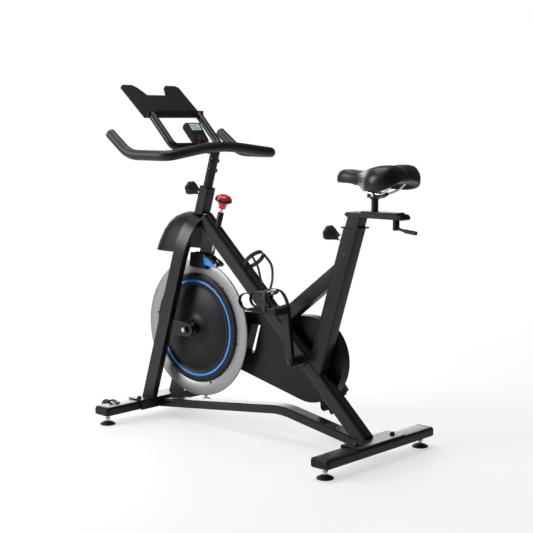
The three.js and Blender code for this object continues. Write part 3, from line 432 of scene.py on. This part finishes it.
def dress_frame():
    """Gives each carried-over CAD node its finish, smooth rounds and softened edges."""
    slots = {s["node"]: s["material_slot"] for s in frame["record"]["subparts"]}
    for name, node in frame["nodes"].items():
        slot = slots[name]
        node.data.materials.clear()
        node.data.materials.append(CAD_FINISH[slot])
        if "custom_normal" in node.data.attributes:
            node.data.attributes.remove(node.data.attributes["custom_normal"])
        for polygon in node.data.polygons:
            polygon.use_smooth = True
            polygon.material_index = 0
        weld = node.modifiers.new("weld", "WELD")
        weld.merge_threshold = 0.00002
        add_bevel(node, EDGE_WIDTH.get(slot, 0.6))


# ---------------------------------------------------------------- camera, light and floor
def make_camera():
    data = bpy.data.cameras.new("camera")
    data.lens = CAMERA_LENS
    data.sensor_width = 36
    data.clip_start, data.clip_end = 0.1, 100
    camera = bpy.data.objects.new("camera", data)
    bpy.context.scene.collection.objects.link(camera)
    a, e = math.radians(CAMERA_AZIMUTH), math.radians(CAMERA_DROP)
    back = Vector((math.sin(a) * math.cos(e), -math.cos(a) * math.cos(e), math.sin(e)))
    camera.location = at(*CAMERA_PLACE)
    camera.rotation_mode = "QUATERNION"
    camera.rotation_quaternion = (-back).to_track_quat("-Z", "Y")
    bpy.context.scene.camera = camera


def area_light(name, place, target, size, power):
    data = bpy.data.lights.new(name, "AREA")
    data.shape = "RECTANGLE"
    data.size, data.size_y = size
    data.energy = power
    light = bpy.data.objects.new(name, data)
    bpy.context.scene.collection.objects.link(light)
    light.location = place
    direction = Vector(target) - Vector(place)
    light.rotation_mode = "QUATERNION"
    light.rotation_quaternion = direction.to_track_quat("-Z", "Y")
    return light


def make_world():
    """Soft light from all round, with a white background where the camera sees it."""
    world = bpy.data.worlds.new("studio")
    world.use_nodes = True
    bpy.context.scene.world = world
    tree = world.node_tree
    background = tree.nodes["Background"]
    mix = tree.nodes.new("ShaderNodeMixShader")
    seen = tree.nodes.new("ShaderNodeBackground")
    seen.inputs["Color"].default_value = (1, 1, 1, 1)
    background.inputs["Color"].default_value = (1, 1, 1, 1)
    background.inputs["Strength"].default_value = 0.12
    path = tree.nodes.new("ShaderNodeLightPath")
    tree.links.new(path.outputs["Is Camera Ray"], mix.inputs["Fac"])
    tree.links.new(background.outputs["Background"], mix.inputs[1])
    tree.links.new(seen.outputs["Background"], mix.inputs[2])
    tree.links.new(mix.outputs["Shader"], tree.nodes["World Output"].inputs["Surface"])


def make_floor():
    """A pale floor that fades into the white background away from the bike."""
    size = 30
    mesh = bpy.data.meshes.new("floor")
    corners = [(-size, -size, 0), (size, -size, 0), (size, size, 0), (-size, size, 0)]
    mesh.from_pydata(corners, [], [(0, 1, 2, 3)])
    floor = bpy.data.objects.new("floor", mesh)
    bpy.context.scene.collection.objects.link(floor)
    material, tree, shader = nodes_of("floor", (0.86, 0.86, 0.87), 0.6)
    shader.inputs["Specular IOR Level"].default_value = 0.2
    place = tree.nodes.new("ShaderNodeTexCoord")
    length = tree.nodes.new("ShaderNodeVectorMath")
    length.operation = "LENGTH"
    fade = tree.nodes.new("ShaderNodeMapRange")
    fade.inputs["From Min"].default_value = 0.6
    fade.inputs["From Max"].default_value = 3.2
    fade.inputs["To Min"].default_value = 0.55
    seen = tree.nodes.new("ShaderNodeLightPath")
    share = tree.nodes.new("ShaderNodeMath")
    share.operation = "MULTIPLY"
    glow = tree.nodes.new("ShaderNodeEmission")
    mix = tree.nodes.new("ShaderNodeMixShader")
    tree.links.new(place.outputs["Object"], length.inputs[0])
    tree.links.new(length.outputs["Value"], fade.inputs["Value"])
    tree.links.new(fade.outputs["Result"], share.inputs[0])
    tree.links.new(seen.outputs["Is Camera Ray"], share.inputs[1])
    tree.links.new(share.outputs["Value"], mix.inputs["Fac"])
    tree.links.new(shader.outputs["BSDF"], mix.inputs[1])
    tree.links.new(glow.outputs["Emission"], mix.inputs[2])
    tree.links.new(mix.outputs["Shader"], tree.nodes["Material Output"].inputs["Surface"])
    mesh.materials.append(material)


def make_studio():
    make_camera()
    make_world()
    make_floor()
    bpy.context.scene.view_settings.view_transform = "Standard"
    area_light("key", (3.6, -3.0, 2.4), (0, 0, 0.6), (1.8, 2.4), 190)
    backdrop = area_light("backdrop", (-3.4, -3.0, 0.9), (0, 0, 0.4), (5.0, 1.8), 110)
    backdrop.visible_camera = False
    area_light("top", (0.2, -0.6, 3.6), (0, 0, 0), (2.4, 2.4), 90)
    area_light("front", (-1.5, -3.4, 1.8), (0, 0, 0.6), (2.0, 2.0), 30)


# ---------------------------------------------------------------- handlebar
LEFT_BAR = [(269, -443, 1035), (271, -343, 963, 40), (262, -160, 962, 40), (0, -180, 994.5, 110)]
LEFT_SUPPORT = [(114.5, -401, 1100), (114.5, -291, 987, 24)]


def make_handlebar():
    bar = rounded_path(LEFT_BAR + mirrored(LEFT_BAR)[1:], 14)
    swept("handlebar_grips", bar, section_circle(17.6, 36), foam, "handlebar", replaces=["handlebar"],
          slot="frame_paint", bevel=3)
    support = rounded_path(LEFT_SUPPORT + mirrored(LEFT_SUPPORT), 12)
    swept("rest_support", support, section_circle(14, 32), paint, "handlebar", slot="frame_paint", bevel=2)
    gusset = [(-290, 978), (-290, 994), (-180, 1000.5), (-180, 980.5), (-214, 962.5), (-234, 967.5)]
    for side, x in (("left", 18), ("right", -23)):
        plate(f"{side}_bar_gusset", [gusset], (x, 0, 0), Y, Z, 5, paint, "handlebar", slot="frame_paint",
              bevel=1)
    top = on_head(990)
    profile = [(16.9, 0), (16.9, 240), (14.4, 240), (14.4, 0), (16.9, 0)]
    bottom = on_head(758)
    turned("handlebar_stem", profile, bottom, top - bottom, paint, "handlebar", sides=48,
           replaces=["handlebar_post"], slot="frame_paint", bevel=0.6)
    for i, z in enumerate((939, 905)):
        for side, sign in SIDES:
            centre = on_head(z) + X * sign * 15.5 + Y * 5
            bolt(f"{side}_stem_bolt_{i + 1}", centre, X * sign, 6.5, 7, "handlebar", gloss_plastic)
    # Painted shade: each pin hole in the stem is a dark disc on its face, standing for the shade inside the
    # open hole.
    for i in range(2):
        hole = on_head(877 + i * 28.8) + lean_front(HEAD_LEAN) * 16.1
        turned(f"stem_hole_shade_disc_{i + 1}", [(5, 0), (5, 1), (0, 1)], hole, lean_front(HEAD_LEAN), rubber,
               "handlebar", sides=24)


def fluted(name, profile, start, axis, material, body, flutes, depth, **rest):
    """A turned piece whose outside has hollows round it, deepest where the profile is widest."""
    axis = Vector(axis).normalized()
    side, other = basis(axis)
    widest = max(radius for radius, _ in profile)
    round_core = 0.35
    sides = flutes * 10
    points = []
    for radius, distance in profile:
        share = max(0.0, (radius / widest - round_core) / (1 - round_core))
        for i in range(sides):
            turn = 2 * math.pi * i / sides
            dip = 0.5 - 0.5 * math.cos(turn * flutes)
            reach = max(radius - depth * share * dip ** 1.5, 0.001)
            way = side * math.cos(turn) + other * math.sin(turn)
            points.append(Vector(start) + axis * distance + way * reach)
    return piece(name, points, grid_faces(len(profile), sides), material, body, smooth=60, **rest)


def make_pin_knob(name, start, lean, tip, neck, body):
    bell = [(0, neck), (9, neck), (10, neck + 4), (10.5, neck + 8), (13, neck + 15), (17, neck + 25),
            (21.5, neck + 35), (24.5, neck + 43), (25.5, neck + 48), (25.3, neck + 52), (23, neck + 55.5),
            (18, neck + 58.3), (9, neck + 59.8), (0, neck + 60)]
    fluted(f"{name}_grip", bell, start, lean_front(lean), plastic, body, 6, 3.2, replaces=[name],
           slot="black_plastic")
    pin = [(0, tip), (4.9, tip), (4.9, neck + 1), (0, neck + 1)]
    turned(f"{name}_pin", pin, start, lean_front(lean), steel, body, sides=24, slot="bare_steel")


def make_pin_collar(name, start, lean, face, end):
    collar = [(5.3, face), (12, face), (12, face + 3), (9, face + 3.6), (9, end), (5.3, end), (5.3, face)]
    turned(name, collar, start, lean_front(lean), steel, "frame", sides=40, bevel=0.4)


def make_knobs():
    make_pin_knob("handlebar_knob", on_head(HEAD_PIN), HEAD_LEAN, 17.6, 31.5, "handlebar_knob")
    make_pin_knob("seat_knob", on_seat_tube(SEAT_PIN), SEAT_LEAN, 28.2, 46, "seat_knob")
    make_pin_collar("seat_knob_collar", on_seat_tube(SEAT_PIN), SEAT_LEAN, 29.1, 45.6)
    make_pin_collar("handlebar_knob_collar", on_head(HEAD_PIN), HEAD_LEAN, 20.1, 31.1)
    screw = Vector((21.2, -246.8, 831.2))
    bolt("sleeve_screw", screw, X, 3.4, 2.4, "frame", gloss_plastic)


# ---------------------------------------------------------------- console and tablet rest
CONSOLE_TOP = Vector((0, -313, 1072.6))
CONSOLE_DOWN, CONSOLE_OUT = Vector((0, 0.608, -0.794)), Vector((0, 0.794, 0.608))


def on_console(x, down, out):
    """A place on the console: sideways, down its face from the top, and out from the face."""
    return CONSOLE_TOP + X * x + CONSOLE_DOWN * down + CONSOLE_OUT * out


def console_pad(name, x, down, width, height, low, high, material, body="handlebar", radius=2.0, **rest):
    outline = section_box(width, height, radius)
    return plate(name, [outline], on_console(x, down, low), X, -CONSOLE_DOWN, high - low, material, body,
                 bevel=0.5, **rest)


def make_console():
    side = [(0, -6), (1.5, -1.5), (6, 0), (84, 0), (84, -16), (70, -22), (6, -28), (1, -22)]
    outline = [tuple(on_console(0, d, o))[1:] for d, o in side]
    plate("console_case", [outline], (-33, 0, 0), Y, Z, 66, plastic, "handlebar", replaces=["console_body"],
          slot="black_plastic", bevel=2.5)
    console_pad("console_face", 0, 43, 58, 76, -0.2, 0.5, gloss_plastic, radius=5)
    console_pad("console_window", 0, 22, 47, 28, 0.4, 0.9, lcd, radius=1.5, replaces=["console_screen"],
                slot="screen")
    make_console_marks()
    for i, (x, colour) in enumerate(((18, dark_red), (0, orange), (-18, grey))):
        console_pad(f"console_key_{i + 1}", x, 50, 10, 7, -1.8, 1.5, colour, f"console_button_{i + 1}",
                    replaces=[f"console_button_{i + 1}"], slot="dark_rubber", radius=2.5)
    console_pad("console_wide_key", 0, 62, 30, 8, 0.4, 1.3, dark_blue, radius=3)
    for i, x in enumerate((12, -12)):
        console_pad(f"console_low_key_{i + 1}", x, 73, 14, 7, 0.4, 1.3, dark_red, radius=3)


def make_console_marks():
    """Faint bars on the display, in place of a reading."""
    for i in range(4):
        console_pad(f"console_digit_{i + 1}", 14 - i * 7, 17, 3.4, 7.5, 0.9, 1.0, ink, radius=0.6)
    console_pad("console_bar_1", 0, 26, 34, 1.2, 0.9, 1.0, ink, radius=0.4)
    console_pad("console_bar_2", 0, 30.5, 26, 1.2, 0.9, 1.0, ink, radius=0.4)


def make_rest():
    """The soft strip along the ledge of the tablet rest."""
    strip = section_box(270, 22, 10)
    plate("ledge_pad", [strip], (0, -394.9, 1100.5), -X, Z, 1.6, rubber, "handlebar", bevel=0.5)


# ---------------------------------------------------------------- saddle
# Stations from nose to tail: Y, half width, top, skirt bottom and underside heights.
SADDLE = [(353, 14, 906, 888, 890), (360, 23, 919, 885, 890), (385, 29, 926, 884, 892),
          (420, 33, 924, 883, 892), (455, 44, 923, 876, 890), (490, 70, 930, 867, 888),
          (525, 94, 939, 863, 886), (560, 101, 944, 864, 886), (592, 94, 943, 872, 887),
          (610, 76, 932, 884, 892), (617, 48, 920, 895, 900)]
# The channel in the top starts at a Y, deepens over a stretch, and runs on to the tail.
CHANNEL_START, CHANNEL_EASE, CHANNEL_DEPTH = 430, 90, 5.5


def saddle_ring(y, half, top, skirt, under):
    """The padded section at one station, with the channel down the middle of the top."""
    channel = CHANNEL_DEPTH * max(0.0, min(1.0, (y - CHANNEL_START) / CHANNEL_EASE))
    edge = 0.5 * (top + skirt)
    right = [(0, top - channel), (0.1 * half, top - 0.7 * channel), (0.24 * half, top),
             (0.45 * half, top + 0.6), (0.65 * half, top - 2), (0.82 * half, top - 7),
             (0.94 * half, edge + 0.3 * (top - edge)), (half, edge),
             (0.99 * half, skirt + 0.25 * (edge - skirt)), (0.94 * half, skirt + 0.5), (0.88 * half, skirt),
             (0.8 * half, skirt + 2), (0.72 * half, under), (0.4 * half, under + 1), (0, under + 1)]
    left = [(-x, z) for x, z in reversed(right[1:-1])]
    return [Vector((x, y, z)) for x, z in right + left]


def make_saddle():
    stations = spline([Vector(s) for s in SADDLE], 4)
    rings = [saddle_ring(*s) for s in stations]
    count = len(rings[0])
    points = [p for ring in rings for p in ring]
    saddle = piece("saddle_pad", points, grid_faces(len(rings), count), vinyl, "saddle", replaces=["saddle"],
                   slot="saddle_cover", smooth=80)
    round_off = saddle.modifiers.new("round", "SUBSURF")
    round_off.levels = round_off.render_levels = 1


def make_saddle_rails():
    for name, side in SIDES:
        line = [(side * 14, 398, 895), (side * 20, 470, 858, 20), (side * 20, 528, 852, 15),
                (side * 30, 560, 866, 12), (side * 36, 580, 886)]
        swept(f"{name}_saddle_rail", rounded_path(line, 10), section_circle(3.5, 20), chrome, "saddle",
              replaces=["saddle_rails"], slot="chrome")
    body = [(476, 842), (478, 854), (484, 861), (522, 858), (530, 849), (512, 839)]
    plate("saddle_clamp", [body], (-23, 0, 0), Y, Z, 46, plastic, "saddle", slot="black_plastic", bevel=3)
    sleeve = [(11.4, 836), (15, 836), (15, 842), (11.4, 842), (11.4, 836)]
    turned("saddle_clamp_sleeve", sleeve, (0, SADDLE_COLUMN, 0), Z, plastic, "saddle", sides=40, bevel=0.6)
    for name, side in SIDES:
        bolt(f"{name}_clamp_nut", (side * 23, 502, 851), X * side, 6.5, 6, "saddle", steel, hexagon=True)


def make_seat_slider():
    column = [(0, 0), (11.1, 0), (11.1, 49.5), (10.2, 50), (0, 50)]
    turned("saddle_column", column, (0, SADDLE_COLUMN, 796), Z, paint, "seat_slider", sides=48,
           slot="frame_paint")
    path = rounded_path([(0, LEVER_PIVOT, 752), (0, 605, 743.5, 12), (0, 645, 739.5)], 8)
    swept("lever_arm", path, section_circle(4.4, 20), paint, "slider_lever", replaces=["slider_lever"],
          slot="frame_paint")
    grip = rounded_path([(0, 606, 743.4), (0, 630, 741, 10), (0, 651, 739)], 6)
    swept("lever_grip", grip, section_circle(6.2, 24), rubber, "slider_lever", slot="dark_rubber", bevel=2)
    hub = [(0, -34), (9, -34), (10.5, -31), (10.5, -4), (9.4, -1), (0, -1)]
    turned("lever_hub", hub, (0, LEVER_PIVOT, 777.5), Z, plastic, "slider_lever", sides=40,
           slot="black_plastic")
    block = [(590, 776), (590, 795), (604, 793), (611, 786), (611, 779), (606, 776)]
    plate("rail_end_stop", [block], (-24, 0, 0), Y, Z, 48, plastic, "seat_post", slot="black_plastic",
          bevel=2)


# ---------------------------------------------------------------- flywheel and drive
def make_flywheel():
    rim = [(9, -10), (26, -10), (30, 4), (241, 4), (243.3, 5), (244, 6.5), (244, 9.5), (243.3, 11), (241, 12),
           (195.5, 12), (190.5, 8), (30, 8), (26, 10), (9, 10), (9, -10)]
    turned("flywheel_rim", rim, FLYWHEEL, X, ring_steel, "flywheel", sides=160, replaces=["flywheel"],
           slot="flywheel_steel")
    dish = [(9, 10.4), (27, 10.4), (32, 8.4), (188.5, 8.4), (190, 12.3), (194.2, 12.3), (194.5, 13),
            (194, 16), (192, 17.2), (188, 17.6), (174.5, 18.5), (173, 17.6), (165.6, 17.6), (164, 18.2),
            (162, 16.6), (148, 16.4), (146, 16.9), (143, 19), (60, 21), (46, 21.4), (43, 23.6), (26, 24),
            (24, 22), (9, 22), (9, 10.4)]
    turned("flywheel_dish", dish, FLYWHEEL, X, plastic, "flywheel", sides=128, replaces=["flywheel_cover"],
           slot="black_plastic")
    band = [(165.8, 17.2), (172.8, 17.2), (172.5, 18.5), (169.3, 19.3), (166.1, 18.5), (165.8, 17.2)]
    turned("flywheel_blue_ring", band, FLYWHEEL, X, blue, "flywheel", sides=160)
    socket = [(0, 0), (4.6, 0), (4.6, 0.9), (3.9, 1.3), (2.4, 1.3), (2.2, 0.5), (0, 0.5)]
    circle = 201
    for i in range(6):
        turn = math.radians(50 + 60 * i)
        place = Vector(FLYWHEEL) + Vector((11.9, circle * math.cos(turn), circle * math.sin(turn)))
        turned(f"rim_screw_{i + 1}", socket, place, X, gloss_plastic, "flywheel", sides=24)


def make_axles():
    shaft = [(0, -94), (7, -94), (8, -93), (8, 81), (7, 82), (0, 82)]
    turned("axle_shaft", shaft, FLYWHEEL, X, steel, "frame", sides=32, replaces=["flywheel_axle"],
           slot="bare_steel")
    for name, side, out in (("left_outer", 1, 68.2), ("left_inner", 1, 49.5), ("right_outer", -1, 79.7)):
        spot = Vector(FLYWHEEL) + X * side * out
        bolt(f"{name}_axle_nut", spot, X * side, 13, 10, "frame", gloss_plastic, hexagon=True)
    hub = [(8.3, 24.3), (20, 24.3), (20, 38), (14, 42), (14, 49), (8.3, 49), (8.3, 24.3)]
    turned("hub_spacer", hub, FLYWHEEL, X, gloss_plastic, "flywheel", sides=40, bevel=0.6)
    cap = [(0, 0), (9.6, 0), (9.6, 1.6), (8, 3), (5, 3), (4.6, 1.5), (0, 1.5)]
    for name, side in SIDES:
        spot = Vector(CRANK) + X * side * 83
        turned(f"{name}_crank_bolt", cap, spot, X * side, gloss_plastic, "crankset", sides=32)


def crank_tip(side):
    """Where a pedal's spindle leaves its crank arm, as Y and Z."""
    lean, reach = math.radians(CRANK_LEAN), side * CRANK_LENGTH
    return CRANK[1] - reach * math.sin(lean), CRANK[2] + reach * math.cos(lean)


def round_two(c1, r1, c2, r2, steps=24):
    """The outline round two circles."""
    heading = math.degrees(math.atan2(c2[1] - c1[1], c2[0] - c1[0]))
    touch = math.degrees(math.acos((r1 - r2) / math.dist(c1, c2)))
    first = arc(*c1, r1, heading + touch, heading + 360 - touch, steps)
    return first + arc(*c2, r2, heading - touch, heading + touch, steps)


def make_cranks():
    for name, side in SIDES:
        y, z = crank_tip(side)
        arm = round_two(CRANK[1:], 15.5, (y, z), 14)
        x = 72 if side > 0 else -88
        plate(f"{name}_arm", [arm], (x, 0, 0), Y, Z, 16, paint, "crankset", replaces=[f"{name}_crank_arm"],
              slot="frame_paint", bevel=3)
        start = 40 if side > 0 else 64
        boss = [(9.95, start), (15, start), (15.4, 72.2), (9.95, 72.2), (9.95, start)]
        turned(f"{name}_arm_boss", boss, CRANK, X * side, paint, "crankset", sides=48, slot="frame_paint",
               bevel=0.8)
        cap = [(0, 87.5), (11.5, 87.5), (11.5, 89.5), (10, 91.5), (9, 91.8), (8, 90), (0, 90)]
        turned(f"{name}_arm_cap", cap, CRANK, X * side, gloss_plastic, "crankset", sides=40)
        spindle = [(0, 80), (6.5, 80), (6.5, 90), (9, 90), (9, 95), (6.5, 95), (6.5, 148), (0, 148)]
        turned(f"{name}_pedal_spindle", spindle, (0, y, z), X * side, steel, "crankset", sides=32)


# ---------------------------------------------------------------- pedals
# Points of the strap: how far out along the spindle, back from it and up from it.
STRAP = [(95, 26, -4), (95, 18, 26), (97, 4, 50), (105, -8, 63), (124, -16, 68), (145, -20, 67),
         (160, -22, 60), (165, -22, 46), (165, -20, -4)]
# Points of the cage's outline: how far back from the spindle and up from it.
CAGE = [(-28.8, -8), (-60, -8), (-100, -4), (-120, 2), (-131, 14), (-132, 28), (-125, 40), (-108, 48),
        (-70, 53), (-30, 57), (-14, 57.5)]
CAGE_INNER, CAGE_OUTER = 106, 158


def ribbon(name, path, wide, thick, material, body, width_axis, **rest):
    """A flat strap along a path, its width held along one direction."""
    path = [Vector(p) for p in path]
    points = []
    for place, tangent in zip(path, tangents_of(path)):
        out = tangent.cross(Vector(width_axis)).normalized() * thick / 2
        along = Vector(width_axis) * wide / 2
        points += [place + out - along, place + out + along, place - out + along, place - out - along]
    return piece(name, points, grid_faces(len(path), 4), material, body, **rest)


def make_pedal(name, side, tilt):
    """A pedal with its cage and strap, turned about its spindle by the tilt."""
    body = f"{name}_pedal"
    turn = math.radians(tilt)
    back_way = Vector((0, math.cos(turn), math.sin(turn)))
    up_way = Vector((0, -math.sin(turn), math.cos(turn)))

    def spot(x, back, height):
        return Vector((side * x, *crank_tip(side))) + back_way * back + up_way * height

    strap = [spot(*p) for p in spline(STRAP, 6)]
    ribbon(f"{name}_strap", strap, 15, 2.4, rubber, body, back_way, replaces=[f"{name}_pedal_strap"],
           slot="dark_rubber", bevel=0.6)
    buckle = section_box(21, 19, 3)
    plate(f"{name}_buckle", [buckle, section_box(14, 11, 1.5)], spot(166.2, -21, 30), back_way, up_way,
          2.6 * side, gloss_plastic, body, bevel=0.4)
    outline = spline(CAGE, 5)
    for label, x in (("inner", CAGE_INNER), ("outer", CAGE_OUTER)):
        rail = [spot(x, b, h) for b, h in outline]
        ribbon(f"{name}_cage_{label}_rail", rail, 11, 4, plastic, body, X, slot="black_plastic", bevel=1.2)
    middle = (CAGE_INNER + CAGE_OUTER) / 2
    web = [spot(middle, b, h) for b, h in outline[:12]]
    ribbon(f"{name}_cage_sole", web, 46, 3, plastic, body, X, slot="black_plastic", bevel=0.8)
    tail = [spot(middle, b, h) for b, h in outline[-11:]]
    ribbon(f"{name}_cage_tongue", tail, 46, 3, plastic, body, X, slot="black_plastic", bevel=0.8,
           replaces=[f"{name}_toe_cage"])
    make_pedal_body(name, side, spot, back_way, up_way)


def make_pedal_body(name, side, spot, back_way, up_way):
    body = f"{name}_pedal"
    tooth = [(2.6, -1), (2.2, 1), (1.4, 1.4), (0, 1.4)]
    for label, back in (("front", -24.5), ("rear", 24.5)):
        bar = [spot(97, back, 0), spot(163, back, 0)]
        swept(f"{name}_pedal_{label}_bar", bar, section_box(8, 23, 2.5), plastic, body, side=back_way,
              slot="black_plastic", bevel=1)
        for k in range(6):
            for end, sign in (("top", 1), ("low", -1)):
                place = spot(103 + k * 10.8, back, sign * 11.5)
                turned(f"{name}_{label}_tooth_{k + 1}_{end}", tooth, place, up_way * sign, plastic, body,
                       sides=10)
    for label, x in (("inner", 100), ("middle", 130), ("outer", 160)):
        beam = [spot(x, -24, 0), spot(x, 24, 0)]
        swept(f"{name}_pedal_{label}_beam", beam, section_box(6, 21, 2), plastic, body, side=X,
              slot="black_plastic", bevel=0.8)
    barrel = [(6.9, 97), (12, 97), (12, 128), (11, 132), (11, 150), (9, 152), (0, 152)]
    turned(f"{name}_pedal_barrel", barrel, spot(0, 0, 0), X * side, plastic, body, sides=40,
           replaces=[f"{name}_pedal"], slot="black_plastic", bevel=0.8)


# ---------------------------------------------------------------- brake
def make_brake():
    axis = lean_up(BRAKE_LEAN)
    foot = Vector(BRAKE_KNOB)
    upper = [(0, 57), (11, 56.5), (20, 54), (26, 49.5), (28.5, 45.5), (28.5, 43.5), (0, 43.5)]
    fluted("brake_knob_top", upper, foot, axis, red, "resistance_knob", 5, 2.6, replaces=["resistance_knob"],
           slot="red_plastic")
    ring = [(0, 32.5), (27.5, 32.5), (30.5, 34.5), (31, 38.5), (30, 42.5), (28, 44), (0, 44)]
    fluted("brake_knob_ring", ring, foot, axis, gloss_plastic, "resistance_knob", 5, 1.2,
           slot="black_plastic")
    lower = [(0, 8), (13, 8), (13.5, 13), (15, 19), (19, 26), (25, 32.8), (0, 32.8)]
    fluted("brake_knob_base", lower, foot, axis, red, "resistance_knob", 5, 2.0, slot="red_plastic")
    rod = [(0, -152), (4, -152), (4.6, -150), (4.6, 7.6), (0, 7.6)]
    turned("brake_spindle", rod, foot, axis, steel, "brake_rod", sides=24, replaces=["brake_rod"],
           slot="bare_steel")
    sleeve = [(5.6, -62), (11, -62), (11, -9.5), (10, -8.3), (5.6, -8.3), (5.6, -62)]
    turned("brake_sleeve", sleeve, foot, axis, paint, "frame", sides=40, replaces=["resistance_sleeve"],
           slot="frame_paint")
    for name, x in (("left", 20.1), ("right", -12.1)):
        triangle = [(-243, 612), (-243, 575), (-188, 568.5), (-182, 571)]
        plate(f"{name}_brake_plate", [triangle], (x, 0, 0), Y, Z, 2, blue, "brake_arm", bevel=0.6)
    for name, x, side in (("left", 20.1, 1), ("right", -10.1, -1)):
        bolt(f"{name}_brake_pivot", (x, *BRAKE_PIVOT), X * side, 5.5, 5, "brake_arm", steel, hexagon=True)
    for name, x in (("left", 24.5), ("right", -14.5)):
        swept(f"{name}_brake_link", [(x, -236, 607), (x, -190, 586)], section_box(4, 5, 1), gloss_plastic,
              "brake_arm", side=X, bevel=0.8)
    pin = [(5, -192, 592), (5, -168, 572.6)]
    swept("brake_pin", pin, section_circle(3.2, 16), steel, "brake_arm", bevel=0.8)


# ---------------------------------------------------------------- bottle cage
def on_main(x, down, out):
    """A place by the main tube: sideways, down along it, and out square to it."""
    slope = math.radians(MAIN_SLOPE)
    along = Vector((0, math.cos(slope), -math.sin(slope)))
    up = Vector((0, math.sin(slope), math.cos(slope)))
    return Vector((x, *MAIN_TUBE)) + along * down + up * out


def make_bottle_cage():
    spine = [on_main(0, 28, 57), on_main(0, 120, 57), on_main(0, 205, 57)]
    swept("cage_spine", spine, section_box(22, 5, 2), plastic, "frame", side=X, replaces=["bottle_cage"],
          slot="black_plastic", bevel=0.8)
    ring = [on_main(x, 62, out) for x, out in arc(0, 92.3, 37.5, -78, 258, 40)]
    along = on_main(0, 1, 0) - on_main(0, 0, 0)
    ribbon("cage_ring", ring, 14, 4, plastic, "frame", along, slot="black_plastic", bevel=1)
    for name, side in SIDES:
        line = [on_main(side * 30, 62, 116), on_main(side * 34, 110, 112), on_main(side * 28, 150, 84),
                on_main(side * 8, 180, 59)]
        swept(f"{name}_cage_loop", spline(line, 8), section_box(9, 3.4, 1.2), plastic, "frame", side=Z,
              slot="black_plastic", bevel=0.6)
    tongue = [on_main(0, 196, 58), on_main(0, 203, 72), on_main(0, 207, 84), on_main(0, 205, 96)]
    ribbon("cage_tongue", spline(tongue, 6), 20, 5, plastic, "frame", X, slot="black_plastic", bevel=1)
    up = on_main(0, 0, 1) - on_main(0, 0, 0)
    for i, down in enumerate((90, 150)):
        bolt(f"cage_screw_{i + 1}", on_main(0, down, 59.5), up, 4, 3, "frame", gloss_plastic)


# ---------------------------------------------------------------- base
def make_base():
    # Painted shade: each hole is a thin raised ring round a dark disc laid on the tube's face, the disc
    # standing for the shade inside the open hole.
    rim = [(6, 0), (6, 0.4), (4.8, 0.4), (4.8, 0.1), (0, 0.1)]
    turned("fork_leg_hole_shade_disc", rim, (80, -477, 98.5), X, rubber, "frame", sides=24)
    turned("seat_tube_hole_shade_disc", rim, on_seat_tube(SEAT_HOLE) + X * SEAT_TUBE_HALF_WIDTH, X, rubber, "frame",
           sides=24)
    for end, y, bolt_spread, bolt_shift in (("front", -FOOT_REACH, 108, 12), ("rear", FOOT_REACH, 95, -2)):
        for side, sign in SIDES:
            place = (sign * bolt_spread, y + bolt_shift, 73)
            bolt(f"{end}_{side}_plate_bolt", place, Z, 8, 8, "frame", gloss_plastic)
            make_foot(f"{end}_{side}", sign * FOOT_SPREAD, y)
    for side, sign in SIDES:
        make_wheel(side, sign * WHEEL_SPREAD)


def make_foot(name, x, y):
    foot = f"{name}_foot"
    pad = [(0, 0), (24, 0), (26.4, 0.8), (27, 2.4), (27, 4.4), (26, 5.4), (21, 8.6), (14, 11.8), (9.5, 13),
           (0, 13)]
    turned(f"{name}_pad", pad, (x, y, 0), Z, rubber, foot, replaces=[foot], slot="dark_rubber")
    stem = [(0, 12), (4.8, 12), (4.8, 52), (0, 52)]
    turned(f"{name}_stem", stem, (x, y, 0), Z, steel, foot, sides=24)
    bolt(f"{name}_lock_nut", (x, y, 20), Z, 9, 6, foot, steel, hexagon=True)


def make_wheel(side, x):
    wheel, axle = f"{side}_transport_wheel", (x, *WHEEL_AXLE)
    tyre = [(8, -7), (16, -7), (18.6, -6), (20, -3.5), (20, 3.5), (18.6, 6), (16, 7), (8, 7), (8, -7)]
    turned(f"{side}_wheel_tyre", tyre, axle, X, rubber, wheel, replaces=[wheel], slot="black_plastic")
    hub = [(3.6, -7.3), (9, -7.3), (9, 7.3), (3.6, 7.3), (3.6, -7.3)]
    turned(f"{side}_wheel_hub", hub, axle, X, plastic, wheel, sides=32, bevel=0.5)
    tail = [(x, -543, 68), (x, -530, 77.5), (x, -510, 73.5), (x, -493, 70.5)]
    swept(f"{side}_wheel_tail", spline(tail, 6), section_box(17, 4, 1), plastic, "frame", side=X, bevel=0.6)
    for end, sign in (("inner", -1), ("outer", 1)):
        bolt(f"{side}_{end}_wheel_bolt", (x + sign * 12, *WHEEL_AXLE), X * sign, 4.5, 3.5, "frame", steel)


dress_frame()
make_studio()
make_handlebar()
make_knobs()
make_console()
make_rest()
make_saddle()
make_saddle_rails()
make_seat_slider()
make_flywheel()
make_axles()
make_cranks()
make_pedal("left", 1, 0)
make_pedal("right", -1, -50)
make_brake()
make_bottle_cage()
make_base()
